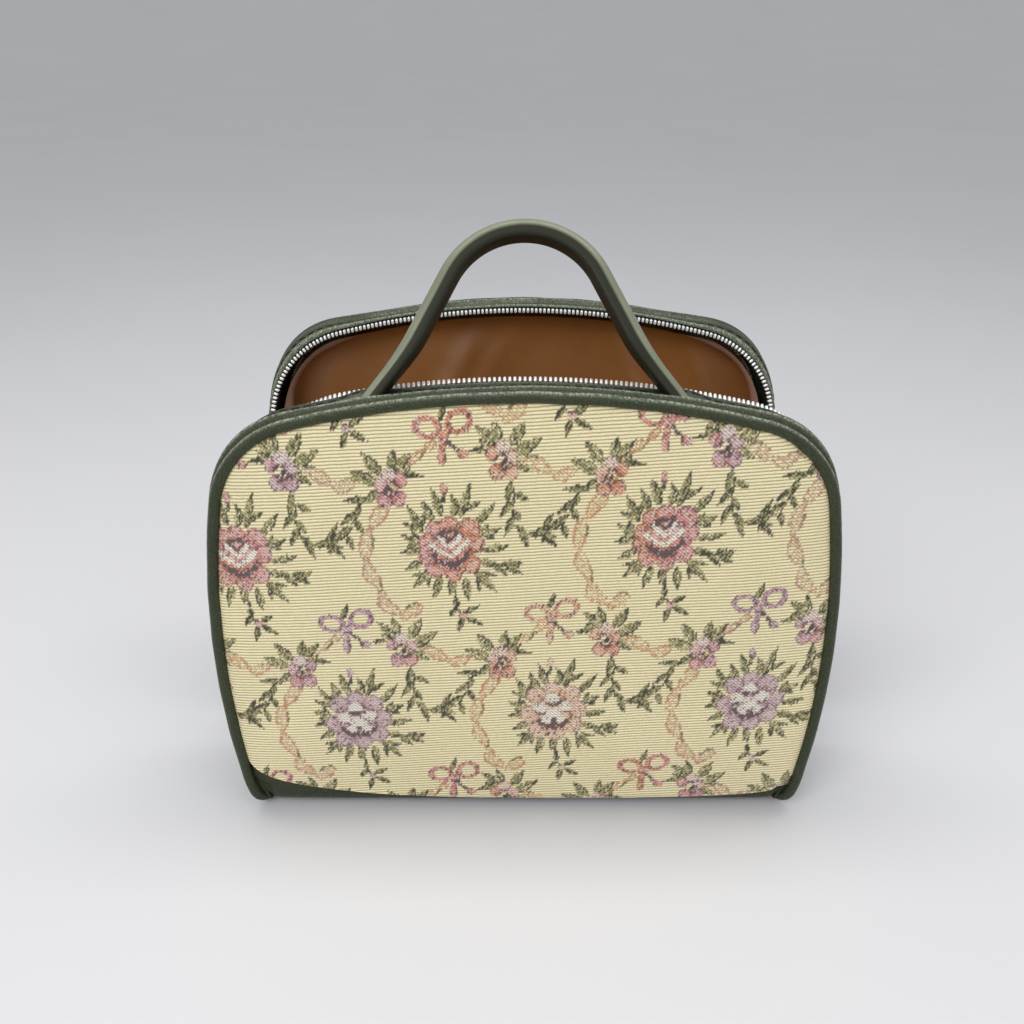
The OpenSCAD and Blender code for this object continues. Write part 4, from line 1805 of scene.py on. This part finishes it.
@dataclass
class VinylStrip(HalfPiece):
    """Vinyl strip round a half, folded into a ridge by the piping, with a stitched hem by the zip."""

    seam_y: float = -0.0026
    seam_in: float = 0.0046
    ridge_s: float = 0.0039
    ridge_in: float = -0.0003
    inset: float = 0.0018
    thick: float = 0.0011
    foot_z: float = 0.0161
    hem: float = 0.0040
    handle_feet: float = 0.0630
    corner_run: float = 0.118
    bulge: float = 0.0044
    folds: tuple[Fold, ...] = ()
    near_mm: tuple[float, ...] = (0, 0.3, 0.7, 1.2, 1.8, 2.5, 3.2, 3.9, 4.6, 5.4, 6.2, 7.0)
    far_mm: tuple[float, ...] = (5.6, 5.0, 4.5, 4.0, 3.5, 3.0, 2.4, 1.8, 1.2, 0.7, 0.3, 0.0)
    between: int = 12
    stitch_row: int = 3
    stitch_pitch: float = 0.0051
    stitch_ends: float = 0.004

    def height(self, run: Array, s: Array, e: Array) -> Array:
        """How far inside the outline the strip's outer face lies.

        Args:
            run: Distance along the outline from the middle of the top.
            s: Distance from the piped seam.
            e: Distance from the hemmed edge.

        Returns:
            Insets.
        """
        near = np.clip((self.ridge_s - s) / self.ridge_s, 0, 1)
        rise = self.ridge_in + (self.seam_in - self.ridge_in) * (1 - np.sqrt(1 - near**2 * 0.98))
        face = self.ridge_in + (self.inset - self.ridge_in) * ease((s - self.ridge_s) / 0.0046)
        inset = np.where(s < self.ridge_s, rise, face)
        inset = inset + 0.0003 * hump(e - self.hem, 0.0008) - 0.0005 * hump(e - 0.0018, 0.0012)
        inset = inset + 0.0005 * hump(e, 0.0006)
        middle = ease((s - 0.003) / 0.006) * ease(e / 0.007)
        inset = inset - 0.0004 * ripple(run, s, 0.034, 21) * (0.25 + 0.75 * middle)
        inset = inset - 0.0011 * middle * ease((s + e - 0.018) / 0.02)
        corner = hump(np.abs(run) - self.corner_run, 0.034)
        inset = inset - self.bulge * corner * np.sin(math.pi * np.clip(s / (s + e), 0, 1)) ** 0.8
        for fold in self.folds:
            inset = inset + fold.drop(run, s)
        if self.half.side is Side.FRONT:
            for sign in (-1, 1):
                spot = ((run - sign * self.handle_feet) / 0.0085) ** 2 + ((s - 0.0112) / 0.0056) ** 2
                inset = inset - 0.0024 * np.exp(-spot)
        return inset

    def rail(self) -> Rail:
        """The outline that the strip follows."""
        return self.outline.rail(1.1 * MM).above(self.foot_z)

    def table(self) -> tuple[Array, Array]:
        """Points of the strip's outer face.

        Returns:
            Points in the half's own frame, as along by across by 3, and how much painted highlight each takes.
        """
        s = self.sizes
        rail = self.rail()
        run = rail.along()
        z = rail.points(self.inset)[:, 1]
        width = s.zip_y(z, s.rim) - self.seam_y
        near, far = np.array(self.near_mm) * MM, np.array(self.far_mm) * MM
        mid = np.linspace(0, 1, self.between + 2)[1:-1]
        last = np.maximum(width - far[0], near[-1] + 0.001)
        across = np.concatenate(
            [
                np.repeat(near[None], len(z), axis=0),
                near[-1] + mid[None] * (last - near[-1])[:, None],
                width[:, None] - far[None],
            ],
            axis=1,
        )
        hem = width[:, None] - across
        r = rail.radius[:, None] - self.height(run[:, None], across, hem)
        x = rail.centre[:, :1] + r * np.cos(rail.angle)[:, None]
        zz = rail.centre[:, 1:] + r * np.sin(rail.angle)[:, None]
        # Painted highlight: a line along the ridge and one along the hem's edge, with a fainter painted sheen band
        # across the strip's middle.
        painted_light = hump(across - self.ridge_s, 0.0008) + 0.85 * hump(hem - 0.0012, 0.0007)
        painted_light += 0.4 * hump(hem - 0.0085, 0.0022) * (0.6 + 0.4 * ripple(run, run * 0, 0.03, 17))[:, None]
        return np.stack([x, self.seam_y + across, zz], axis=2), painted_light

    def build(self) -> Piece:
        """Makes the strip."""
        rows, painted_light = self.table()
        return self.sheet("vinyl_strip", rows, thick=self.thick, painted_light=painted_light)

    def stitches(self) -> Piece:
        """Makes the row of running stitches along the hem.

        Returns:
            The stitches as one piece.
        """
        line = self.table()[0][:, len(self.near_mm) + self.between + self.stitch_row]
        out = self.rail().outward()
        run = Frames.run(line)
        spots = np.arange(self.stitch_ends, run[-1] - self.stitch_ends, self.stitch_pitch)
        place = Frames.at(spots, run, line)
        ahead = Frames.at(spots + 0.0005, run, line) - place
        up = Frames.at(spots, run, np.c_[out[:, 0], np.zeros(len(out)), out[:, 1]])
        model = Bench.block("stitch", (-0.0015, -0.0007, -0.0003), (0.0015, 0.0007, 0.0005), 0.0003, 2)
        return Bench.copies(self.half.name("hem_stitches"), model, Frames.of(self.half, place, ahead, up))

    def dress(self, wardrobe: Wardrobe) -> None:
        """Builds the strip and its stitches."""
        self.ride(self.build(), wardrobe.vinyl, "green_vinyl", "gusset")
        self.ride(self.stitches(), wardrobe.thread, "zip_tape")


class Frames:
    """Places for copies along a line."""

    @staticmethod
    def run(line: Array) -> Array:
        """Distance of each point of a line along it."""
        return np.r_[0.0, np.cumsum(np.linalg.norm(np.diff(line, axis=0), axis=1))]

    @staticmethod
    def at(spots: Array, run: Array, rows: Array) -> Array:
        """Rows between those of a line, at distances along it."""
        return np.stack([np.interp(spots, run, column) for column in rows.T], axis=1)

    @staticmethod
    def of(half: HalfFrame, place: Array, ahead: Array, up: Array) -> list[Matrix]:
        """Frames in the case, from lines in a half's own frame.

        Args:
            half: The half.
            place: Points.
            ahead: Directions along the line.
            up: Outward directions.

        Returns:
            One matrix for each point, with X along the line and Z outward.
        """
        p = half.place(place)
        a = half.place(place + ahead) - p
        u = half.place(place + up) - p
        a /= np.linalg.norm(a, axis=1)[:, None]
        u -= (u * a).sum(axis=1)[:, None] * a
        u /= np.linalg.norm(u, axis=1)[:, None]
        w = np.cross(u, a)
        frames = np.tile(np.eye(4), (len(p), 1, 1))
        frames[:, :3] = np.stack([a, w, u, p], axis=2)
        return [Matrix(one) for one in frames.tolist()]


@dataclass
class ZipRow(HalfPiece):
    """Black zip tape and one row of metal teeth along the edge of a half."""

    inset: float = 0.0031
    tooth_inset: float = 0.0036
    hidden: float = 0.008
    start_z: float = 0.0600
    thick: float = 0.0007
    tooth_half: float = 0.00062
    tooth_rise: float = 0.0011
    tooth_round: float = 0.00054
    curl: float = 0.0

    def lift(self, points: Array) -> Array:
        """Angles by which the row is turned up along the top, and down at the left corner, under the strip."""
        left = ease((-points[:, 0] - 0.072) / 0.02)
        return self.curl * ease((points[:, 1] - 0.150) / 0.035) * (1 - 1.5 * left)

    def tape(self) -> Piece:
        """Makes the tape, from behind the hem to under the teeth.

        Returns:
            The tape.
        """
        s = self.sizes
        rail = self.outline.rail(1.6 * MM).above(self.start_z - 0.003)
        z = rail.points(self.inset)[:, 1]
        steps = np.array([-self.hidden, -0.005, -0.002, 0.0, 0.0008, s.tape_show + 0.0004])
        insets = self.inset + np.array([0.0004, 0.0002, 0.0, 0.0, 0.0, 0.0])
        rise = np.sin(self.lift(rail.points(self.inset)))
        rows = []
        for step, inset in zip(steps, insets):
            p = rail.points(inset - rise * np.clip(step, 0, None))
            rows.append(np.c_[p[:, 0], s.zip_y(z, s.rim + step), p[:, 1]])
        return self.sheet("tape_edge", np.stack(rows, axis=1), thick=self.thick)

    def teeth(self) -> Piece:
        """Makes the row of teeth from one model.

        Returns:
            The teeth as one piece.
        """
        s = self.sizes
        rail = self.outline.rail(0.6 * MM).above(self.start_z)
        turn = self.lift(rail.points(self.tooth_inset))
        p = rail.points(self.tooth_inset - np.sin(turn) * (s.tooth_l / 2 + s.tape_show))
        y = s.zip_y(p[:, 1], s.teeth_end - s.tooth_l / 2)
        line = np.c_[p[:, 0], y, p[:, 1]]
        out = rail.outward() * np.cos(turn)[:, None]
        run = Frames.run(line)
        spots = np.arange(0.001, run[-1], s.tooth_pitch)
        place = Frames.at(spots, run, line)
        ahead = Frames.at(spots + 0.0003, run, line) - place
        up = Frames.at(spots, run, np.c_[out[:, 0], turn, out[:, 1]])
        up[:, 1] = -np.sin(up[:, 1])
        far = np.array([self.tooth_half, 0.86 * (s.tooth_l / 2), self.tooth_rise])
        model = Bench.block("tooth", -far, far, self.tooth_round, 3)
        return Bench.copies(self.half.name("metal_teeth"), model, Frames.of(self.half, place, ahead, up))

    def dress(self, wardrobe: Wardrobe) -> None:
        """Builds the tape and the teeth."""
        self.ride(self.tape(), wardrobe.tape, "zip_tape", "zip_tape")
        self.ride(self.teeth(), wardrobe.teeth, "zip_metal", "zip_teeth")


@dataclass(frozen=True)
class Crease:
    """A slanting crease of the lining: its place at mid height, its slant and its height."""

    at: float
    slant: float
    size: float

    def rise(self, x: Array, z: float) -> Array:
        """How far the crease stands up at places across."""
        return self.size * ease((z - 0.07) / 0.06) * hump(x - self.at - self.slant * (z - 0.17), 0.0065)


@dataclass
class LiningDish(HalfPiece):
    """Tan lining of a half: a soft panel, a wall round it, and a loose binding at the ends of the wall's edge."""

    inset: float = 0.0076
    seed: int = 31
    flat: tuple[float, float] = (0.256, 0.202)
    low: float = 0.0085
    wall_foot: float = 0.0161
    bound_z: float = 0.060
    bound_run: float = 0.074
    creases: tuple[Crease, ...] = (
        Crease(-0.030, 0.45, 0.0026), Crease(-0.014, 0.6, 0.0012), Crease(0.052, -0.35, 0.0016),
    )
    roll: tuple[tuple[float, float], ...] = (
        (-0.0140, -0.0006), (-0.0128, 0.0012), (-0.0112, 0.0023), (-0.0094, 0.0026), (-0.0078, 0.0019),
        (-0.0066, 0.0008), (-0.0060, -0.0006),
    )

    def panel(self) -> Piece:
        """Makes the soft panel, turned up to the wall at its edge.

        Returns:
            The panel.
        """
        s = self.sizes
        run = np.linspace(0.0, 1.0, 100)
        z = self.low + (s.top_z - self.inset - self.low) * (1 - (1 - run) ** 1.6)
        rows = np.empty((len(z), 140, 3))
        side = np.sin(np.linspace(-1, 1, 140) * math.pi / 2)
        for k, height in enumerate(z):
            far = float(self.outline.half_width(max(height, s.low_z + s.foot_r), self.inset))
            far = min(far, float(self.outline.foot_x(height)) - 0.0062)
            x = side * max(far, 0.0004)
            gap = np.minimum(far - np.abs(x), self.outline.top(x, self.inset) - height).clip(0)
            up = np.full_like(x, height)
            fold = 0.0016 * ripple(x, up * 0.5, 0.05, self.seed)
            fold = fold + 0.0010 * ripple(x + up * 0.35, up * 0.2, 0.028, self.seed + 7) ** 3
            for crease in self.creases:
                fold = fold + crease.rise(x, height)
            fold = np.maximum(fold, -0.0006) * ease(gap / 0.02)
            rows[k] = np.c_[x, 0.0009 + 0.0055 * np.exp(-gap / 0.0032) + fold, up]
        return self.sheet("lining_panel", rows, inside=True)

    def wall(self) -> Piece:
        """Makes the wall from the panel to the zip tape.

        Returns:
            The wall.
        """
        s = self.sizes
        rail = self.outline.rail(1.6 * MM).above(self.wall_foot)
        z = rail.points(self.inset)[:, 1]
        run = rail.along()
        start, end = 0.002, s.zip_y(z, s.rim - 0.0068)
        clear = 0.0012 * (1 - ease((z - 0.055) / 0.02))
        rows = []
        for t in np.linspace(0, 1, 24):
            y = start + t * (end - start)
            fold = 0.0006 * ripple(run, y * 0.4, 0.026, self.seed + 1) * ease(t / 0.2) * ease((1 - t) / 0.15)
            p = rail.points(self.inset + 0.0006 + fold - 0.0003 * t - clear)
            rows.append(np.c_[p[:, 0], y, p[:, 1]])
        return self.sheet("lining_wall", np.stack(rows, axis=1), inside=True)

    def binding(self, end: End) -> Piece:
        """Makes the loose binding along the wall's edge at one end.

        Args:
            end: Which end.

        Returns:
            The binding.
        """
        s = self.sizes
        rail = self.outline.rail(1.2 * MM).above(self.bound_z)
        away = np.clip(np.abs(rail.along()) - self.bound_run, 0, None)
        keep = (away > 0) & (np.sign(rail.points()[:, 0]) == end.value)
        rail, away = Rail(rail.centre[keep], rail.radius[keep], rail.angle[keep]), away[keep]
        z = rail.points(self.inset)[:, 1]
        size = ease(away / 0.03) * (1 + 0.35 * ripple(away, away * 0, 0.03, self.seed + 3))
        rows = []
        for step, rise in self.roll:
            p = rail.points(self.inset + 0.0003 + rise * np.clip(size, 0.1, None))
            rows.append(np.c_[p[:, 0], s.zip_y(z, s.rim + step), p[:, 1]])
        return self.sheet(f"{end.word}_binding", np.stack(rows, axis=1), inside=True)

    def dress(self, wardrobe: Wardrobe) -> None:
        """Args:
            wardrobe: The finishes.
        """
        panel = self.ride(self.panel(), wardrobe.lining, "tan_lining", "lining")
        self.half.name("board")
        self.ride(self.wall(), wardrobe.lining, "tan_lining", "lining")
        for end in End:
            self.ride(self.binding(end), wardrobe.binding, "tan_lining")


@dataclass
class StripSkirts(HalfPiece):
    """Soft lower ends of the vinyl strips, which crumple between the base and the halves."""

    inside: float = 0.0036
    high: float = 0.0195
    end_wall: float = 0.1232
    foot_z: float = 0.0038
    thick: float = 0.001

    def build(self, end: End) -> Piece:
        """Makes one lower end.

        Args:
            end: Which end.

        Returns:
            The soft sheet.
        """
        s = self.sizes
        y = np.linspace(-0.0022, float(s.zip_y(self.high, s.rim)), 40)
        clear = ease((y - 0.006) / 0.012)
        rows = []
        for t in np.linspace(0, 1, 18):
            z = self.high + (self.foot_z - s.fold_z - self.high) * t
            x = float(self.outline.foot_x(z)) - self.inside * (0.25 + 0.75 * t)
            x = x + clear * max(self.end_wall - x, 0.0)
            wave = 0.0005 * ripple(y, np.full_like(y, z), 0.03, 41) * math.sin(math.pi * t)
            rows.append(np.c_[(x + wave) * end.value, y, np.full_like(y, z)])
        return self.sheet(f"{end.word}_skirt", np.stack(rows), end is End.RIGHT, self.thick)

    def dress(self, wardrobe: Wardrobe) -> None:
        """Builds both lower ends and hands them over."""
        for end in End:
            self.bend(self.build(end), wardrobe.vinyl, "green_vinyl", low=0.005, high=0.021)


# ---- handle, base and ends


@dataclass
class ArchHandle(HalfPiece):
    """Moulded vinyl arch, rounder outside than inside, whose feet are let into the front top strip."""

    rise: float = 0.065
    lean: float = math.radians(27)
    wide: float = 0.0132
    thick: float = 0.0078
    radius: float = 0.0373
    arc: float = math.radians(62)
    leg: float = 0.026
    flare_r: float = 0.110
    flare_a: float = math.radians(10)
    foot: float = 0.0133
    drop: float = 0.003
    set_back: float = 0.0025
    foot_wide: float = 0.0112
    seat: float = 0.0026
    bend_steps: int = 30
    leg_steps: int = 14
    sunk: float = 0.002

    @staticmethod
    def unit(angle: float | Array) -> Array:
        """Directions at angles, as rows of x and height."""
        return np.stack([np.cos(angle), np.sin(angle)], axis=-1)

    def line(self) -> tuple[Array, Array, Array, Array]:
        """Outer line of the whole arch in its own plane.

        Returns:
            Points, outward directions, how far each is tapered from 0 to 1, and how near it is to its seat.
        """
        n, leg_a = self.leg_steps, math.pi / 2 - self.arc
        foot_a = leg_a + self.flare_a
        bend = np.linspace(math.pi / 2, leg_a, self.bend_steps, endpoint=False)
        share, last = np.linspace(0, 1, n, endpoint=False), np.linspace(0, 1, n)
        flare = leg_a + self.flare_a * share
        leg_u, foot_u = self.unit(leg_a), self.unit(foot_a)
        leg_t, foot_t = (np.array([u[1], -u[0]]) for u in (leg_u, foot_u))
        top = np.array([0.0, self.rise - self.radius])
        start = top + self.radius * leg_u
        flare_c = start + self.leg * leg_t + self.flare_r * leg_u
        points = np.concatenate(
            [
                top + self.radius * self.unit(bend),
                start + share[:, None] * self.leg * leg_t,
                flare_c - self.flare_r * self.unit(flare),
                flare_c - self.flare_r * foot_u + last[:, None] * (self.foot + self.sunk) * foot_t,
            ]
        )
        outs = self.unit(np.r_[bend, np.full(n, leg_a), flare, np.full(n, foot_a)])
        taper = np.r_[np.zeros(self.bend_steps + n), ease(share), np.ones(n)]
        near = np.r_[np.zeros(self.bend_steps + 2 * n), last]
        mirror = np.array([-1.0, 1.0])
        return (
            np.concatenate([points[::-1], points[1:] * mirror]),
            np.concatenate([outs[::-1], outs[1:] * mirror]),
            np.r_[taper[::-1], taper[1:]],
            np.r_[near[::-1], near[1:]],
        )

    @staticmethod
    def section(wide: float, thick: float) -> Array:
        """Section of the arch, as depth from the outer face and place across.

        Args:
            wide: Width there.
            thick: Thickness there.

        Returns:
            A closed ring of points.
        """
        a = np.linspace(-math.pi, math.pi, 56, endpoint=False)
        c, s = np.cos(a), np.sin(a)
        power = np.where(c > 0, 0.86, 0.4)
        return np.c_[thick / 2 * (1 - np.sign(c) * np.abs(c) ** power), wide / 2 * np.sign(s) * np.abs(s) ** power]

    def build(self) -> Piece:
        """Sweeps the arch and seats its feet in the strip.

        Returns:
            The handle.
        """
        s = self.sizes
        p, out, foot, near = self.line()
        width = self.wide + (self.foot_wide - self.wide) * foot
        swell = np.clip((near - 0.5) / 0.5, 0, 1) ** 2
        more = self.sunk * swell
        sections = np.array([self.section(w + m, self.thick * w / self.wide + m) for w, m in zip(width, more)])
        sections[..., 0] *= -1
        back, up = math.sin(self.lean), math.cos(self.lean)
        middle = s.panel_y + s.strip_w / 2 + self.set_back
        centre = np.c_[p[:, 0], middle + p[:, 1] * back, s.top_z - self.drop + p[:, 1] * up]
        out3 = np.c_[out[:, 0], out[:, 1] * back, out[:, 1] * up]
        wide3 = np.tile([0.0, up, -back], (len(p), 1))
        # Marks the rounded outer face for painted light; the sides and inner face take painted shade.
        outer = 1 - ease((self.section(1.0, 1.0)[:, 0] - 0.36) / 0.14)
        obj = Bench.sweep("handle_arch", centre, out3, wide3, sections, outer)
        points = Bench.points(obj)
        points[:, 2] = np.maximum(points[:, 2], self.outline.top(points[:, 0], self.seat))
        Bench.shape(obj, self.half.place(points))
        return obj

    def dress(self, wardrobe: Wardrobe) -> None:
        """Builds the handle and puts it on the front half."""
        Bench.hand_over(self.build(), wardrobe.handle, "handle_vinyl", self.half.body, ["handle"])


@dataclass
class CaseBase:
    """Padded base, its lining pad and the two end walls that hold the zip's ends."""

    outline: Outline
    half_x: float = 0.1195
    half_y: float = 0.0535
    pad_x: float = 0.1175
    pad_y: float = 0.0505
    wall_x: float = 0.1211
    wall_y: float = 0.0361
    wall_low: float = 0.004
    wall_thick: float = 0.0011
    lining_x: float = 0.1197
    tab_x: tuple[float, float] = (0.1206, 0.1259)
    tab_y: float = 0.0045
    tab_low: float = 0.018

    def cover(self) -> Piece:
        """Makes the base cover with rolled edges."""
        high = (self.half_x, self.half_y, self.outline.sizes.base_t - 0.0003)
        return Bench.block("base_pad", (-self.half_x, -self.half_y, 0.0), high, 0.0036, 5)

    def pad(self) -> Piece:
        """Makes the soft lining pad on the base.

        Returns:
            The pad.
        """
        s = self.outline.sizes
        x, y = np.linspace(-self.pad_x, self.pad_x, 90), np.linspace(-self.pad_y, self.pad_y, 44)
        gx, gy = np.meshgrid(x, y)
        edge = np.minimum(self.pad_x - np.abs(gx), self.pad_y - np.abs(gy))
        z = s.base_t - 0.0002 + 0.0009 * (1 - np.exp(-edge / 0.006))
        z = z + 0.0004 * ripple(gx, gy, 0.06, 51) * ease(edge / 0.01)
        return Bench.sheet("base_lining_pad", np.stack([gx, gy, z], axis=2), False)

    def wall(self, end: End, lining: bool) -> Piece:
        """Makes one end wall, or the lining inside it.

        Args:
            end: Which end.
            lining: Whether it is the lining.

        Returns:
            The sheet.
        """
        s = self.outline.sizes
        y = np.linspace(-self.wall_y, self.wall_y, 56)
        z = np.linspace(s.base_t if lining else self.wall_low, s.end_wall_h - (0.001 if lining else 0), 30)
        gy, gz = np.meshgrid(y, z)
        pleat = 0.0012 * hump(gy, 0.008) * ease((gz - 0.012) / 0.03)
        wave = 0.0002 * ripple(gy, gz, 0.03, 61)
        hem = 0.0004 * hump(s.end_wall_h - gz - 0.003, 0.0012)
        x = (self.lining_x if lining else self.wall_x) - pleat + wave + (0 if lining else hem)
        rows = np.stack([x * end.value, gy, gz], axis=2)
        name = f"{end.word}_end_{'lining' if lining else 'gusset'}"
        turned = (end is End.LEFT) != lining
        return Bench.sheet(name, rows, turned, 0.0 if lining else self.wall_thick)

    def tab(self, end: End) -> Piece:
        """Makes the tab that the zip's end is sewn to.

        Args:
            end: Which end.

        Returns:
            The tab.
        """
        low, high = sorted(x * end.value for x in self.tab_x)
        top = (high, self.tab_y, self.outline.sizes.end_wall_h)
        return Bench.block(f"{end.word}_zip_tab", (low, -self.tab_y, self.tab_low), top, 0.0014, 3)

    def dress(self, wardrobe: Wardrobe, nodes: dict[str, Piece]) -> None:
        """Builds the base and ends, and gives the hidden boards and the metal their finishes.

        Args:
            wardrobe: The finishes.
            nodes: The CAD nodes by name.
        """
        Bench.hand_over(self.cover(), wardrobe.vinyl, "green_vinyl", "base", ["base_cover"])
        pad = Bench.hand_over(self.pad(), wardrobe.lining, "tan_lining", "base", ["base_lining"])
        for end in End:
            gusset = self.wall(end, False)
            Bench.hand_over(gusset, wardrobe.vinyl, "green_vinyl", "base", [f"{end.word}_end_wall"])
            Bench.hand_over(self.wall(end, True), wardrobe.lining, "tan_lining", "base")
            Bench.hand_over(self.tab(end), wardrobe.vinyl, "green_vinyl", "base")
        hidden = {"base_board": wardrobe.card, "front_board": wardrobe.card, "back_board": wardrobe.card}
        metal = {name: wardrobe.metal for name in ("zip_slider", "zip_stops", "zip_pull")}
        for name, finish in (hidden | metal).items():
            nodes[name].data.materials.clear()
            nodes[name].data.materials.append(finish)


# ---- the studio


@dataclass(frozen=True)
class Lamp:
    """A soft lamp over the case."""

    name: str
    place: tuple[float, float, float]
    size: tuple[float, float]
    power: float

    def hang(self) -> None:
        """Hangs the lamp, turned to the case."""
        data = bpy.data.lights.new(self.name, "AREA")
        data.shape, data.energy = "RECTANGLE", self.power
        data.size, data.size_y = self.size
        lamp = bpy.data.objects.new(self.name, data)
        lamp.location = self.place
        lamp.rotation_euler = (Vector((0, 0, 0.1)) - Vector(self.place)).to_track_quat("-Z", "Y").to_euler()
        bpy.context.scene.collection.objects.link(lamp)


@dataclass
class Studio:
    """Plain pale floor, soft light and the camera."""

    eye: tuple[float, float, float] = (-0.005, -0.414, 0.336)
    pitch: float = math.radians(63)
    lens: float = 35.16
    floor_size: float = 30.0
    floor_flat: float = 4.0
    floor_rise: float = 0.06
    lamps: tuple[Lamp, ...] = (
        Lamp("key", (-0.6, -0.95, 0.95), (0.7, 0.7), 7.5),
        Lamp("fill", (0.9, -0.8, 0.7), (0.9, 0.9), 2.5),
        Lamp("overhead", (0.0, 0.05, 1.0), (1.3, 0.2), 4.6),
    )

    def camera(self) -> None:
        """Adds the camera where the photograph was taken from."""
        data = bpy.data.cameras.new("camera")
        data.lens, data.sensor_width = self.lens, 36.0
        data.clip_start, data.clip_end = 0.01, 1000.0
        camera = bpy.data.objects.new("camera", data)
        camera.location = self.eye
        camera.rotation_euler = (self.pitch, 0.0, 0.0)
        bpy.context.scene.collection.objects.link(camera)
        bpy.context.scene.camera = camera

    def floor(self) -> None:
        """Adds the floor, which rises far from the case so that its edge never shows."""
        floor, u, v = Bench.grid("floor", 96, 96)
        x, y = (u - 0.5) * self.floor_size, (v - 0.5) * self.floor_size
        away = np.clip(np.hypot(x, y) - self.floor_flat, 0, None)
        Bench.shape(floor, np.c_[x, y, self.floor_rise * away**2])
        Bench.smooth(floor)
        material, n, shader = Finish.start("pale_floor")
        n.wire(n.mix(n.noise(n.place(), 3.0), linear(208, 208, 210), linear(214, 214, 216)), shader, "Base Color")
        shader.inputs["Roughness"].default_value = 0.75
        floor.data.materials.append(material)

    def light(self) -> None:
        """Adds the lamps and the soft surrounding light."""
        for lamp in self.lamps:
            lamp.hang()
        world = bpy.data.worlds.new("soft_room")
        world.use_nodes = True
        back = world.node_tree.nodes["Background"]
        back.inputs["Color"].default_value = linear(238, 239, 242)
        back.inputs["Strength"].default_value = 0.76
        bpy.context.scene.world = world
        bpy.context.scene.view_settings.view_transform = "Standard"

    def build(self) -> None:
        """Builds the studio."""
        self.camera()
        self.floor()
        self.light()


@dataclass(frozen=True)
class HalfLooks:
    """What differs between the two halves: their cloth, the wear of their strips and the set of their zip rows."""

    weave_seed: int
    lining_seed: int
    bulge: float
    curl: float = 0.0
    folds: tuple[Fold, ...] = ()


LOOKS = {
    Side.FRONT: HalfLooks(
        5, 31, 0.0022, math.radians(26),
        (Fold(-0.134, -0.074, 0.0070, 0.0112, 0.0013), Fold(0.086, 0.132, 0.0120, 0.0078, 0.0009)),
    ),
    Side.BACK: HalfLooks(9, 37, 0.0046),
}


def main() -> None:
    """Builds the case piece by piece."""
    logging.basicConfig(level=logging.INFO, format="%(name)s %(message)s")
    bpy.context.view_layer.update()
    Studio().build()
    sizes = CaseSizes()
    outline = Outline(sizes)
    wardrobe = Wardrobe(TapestryPanel.columns, TapestryPanel.rows)
    for side, looks in LOOKS.items():
        half = HalfFrame(side, sizes)
        panel = TapestryPanel(half, outline, seed=looks.weave_seed)
        panel.dress(wardrobe)
        LowerFacing(half, outline).dress(panel, wardrobe)
        PipedSeam(half, outline).dress(wardrobe)
        VinylStrip(half, outline, bulge=looks.bulge, folds=looks.folds).dress(wardrobe)
        ZipRow(half, outline, curl=looks.curl).dress(wardrobe)
        LiningDish(half, outline, seed=looks.lining_seed).dress(wardrobe)
        StripSkirts(half, outline).dress(wardrobe)
    ArchHandle(HalfFrame(Side.FRONT, sizes), outline).dress(wardrobe)
    CaseBase(outline).dress(wardrobe, frame["nodes"])


if __name__ == "__main__":
    main()
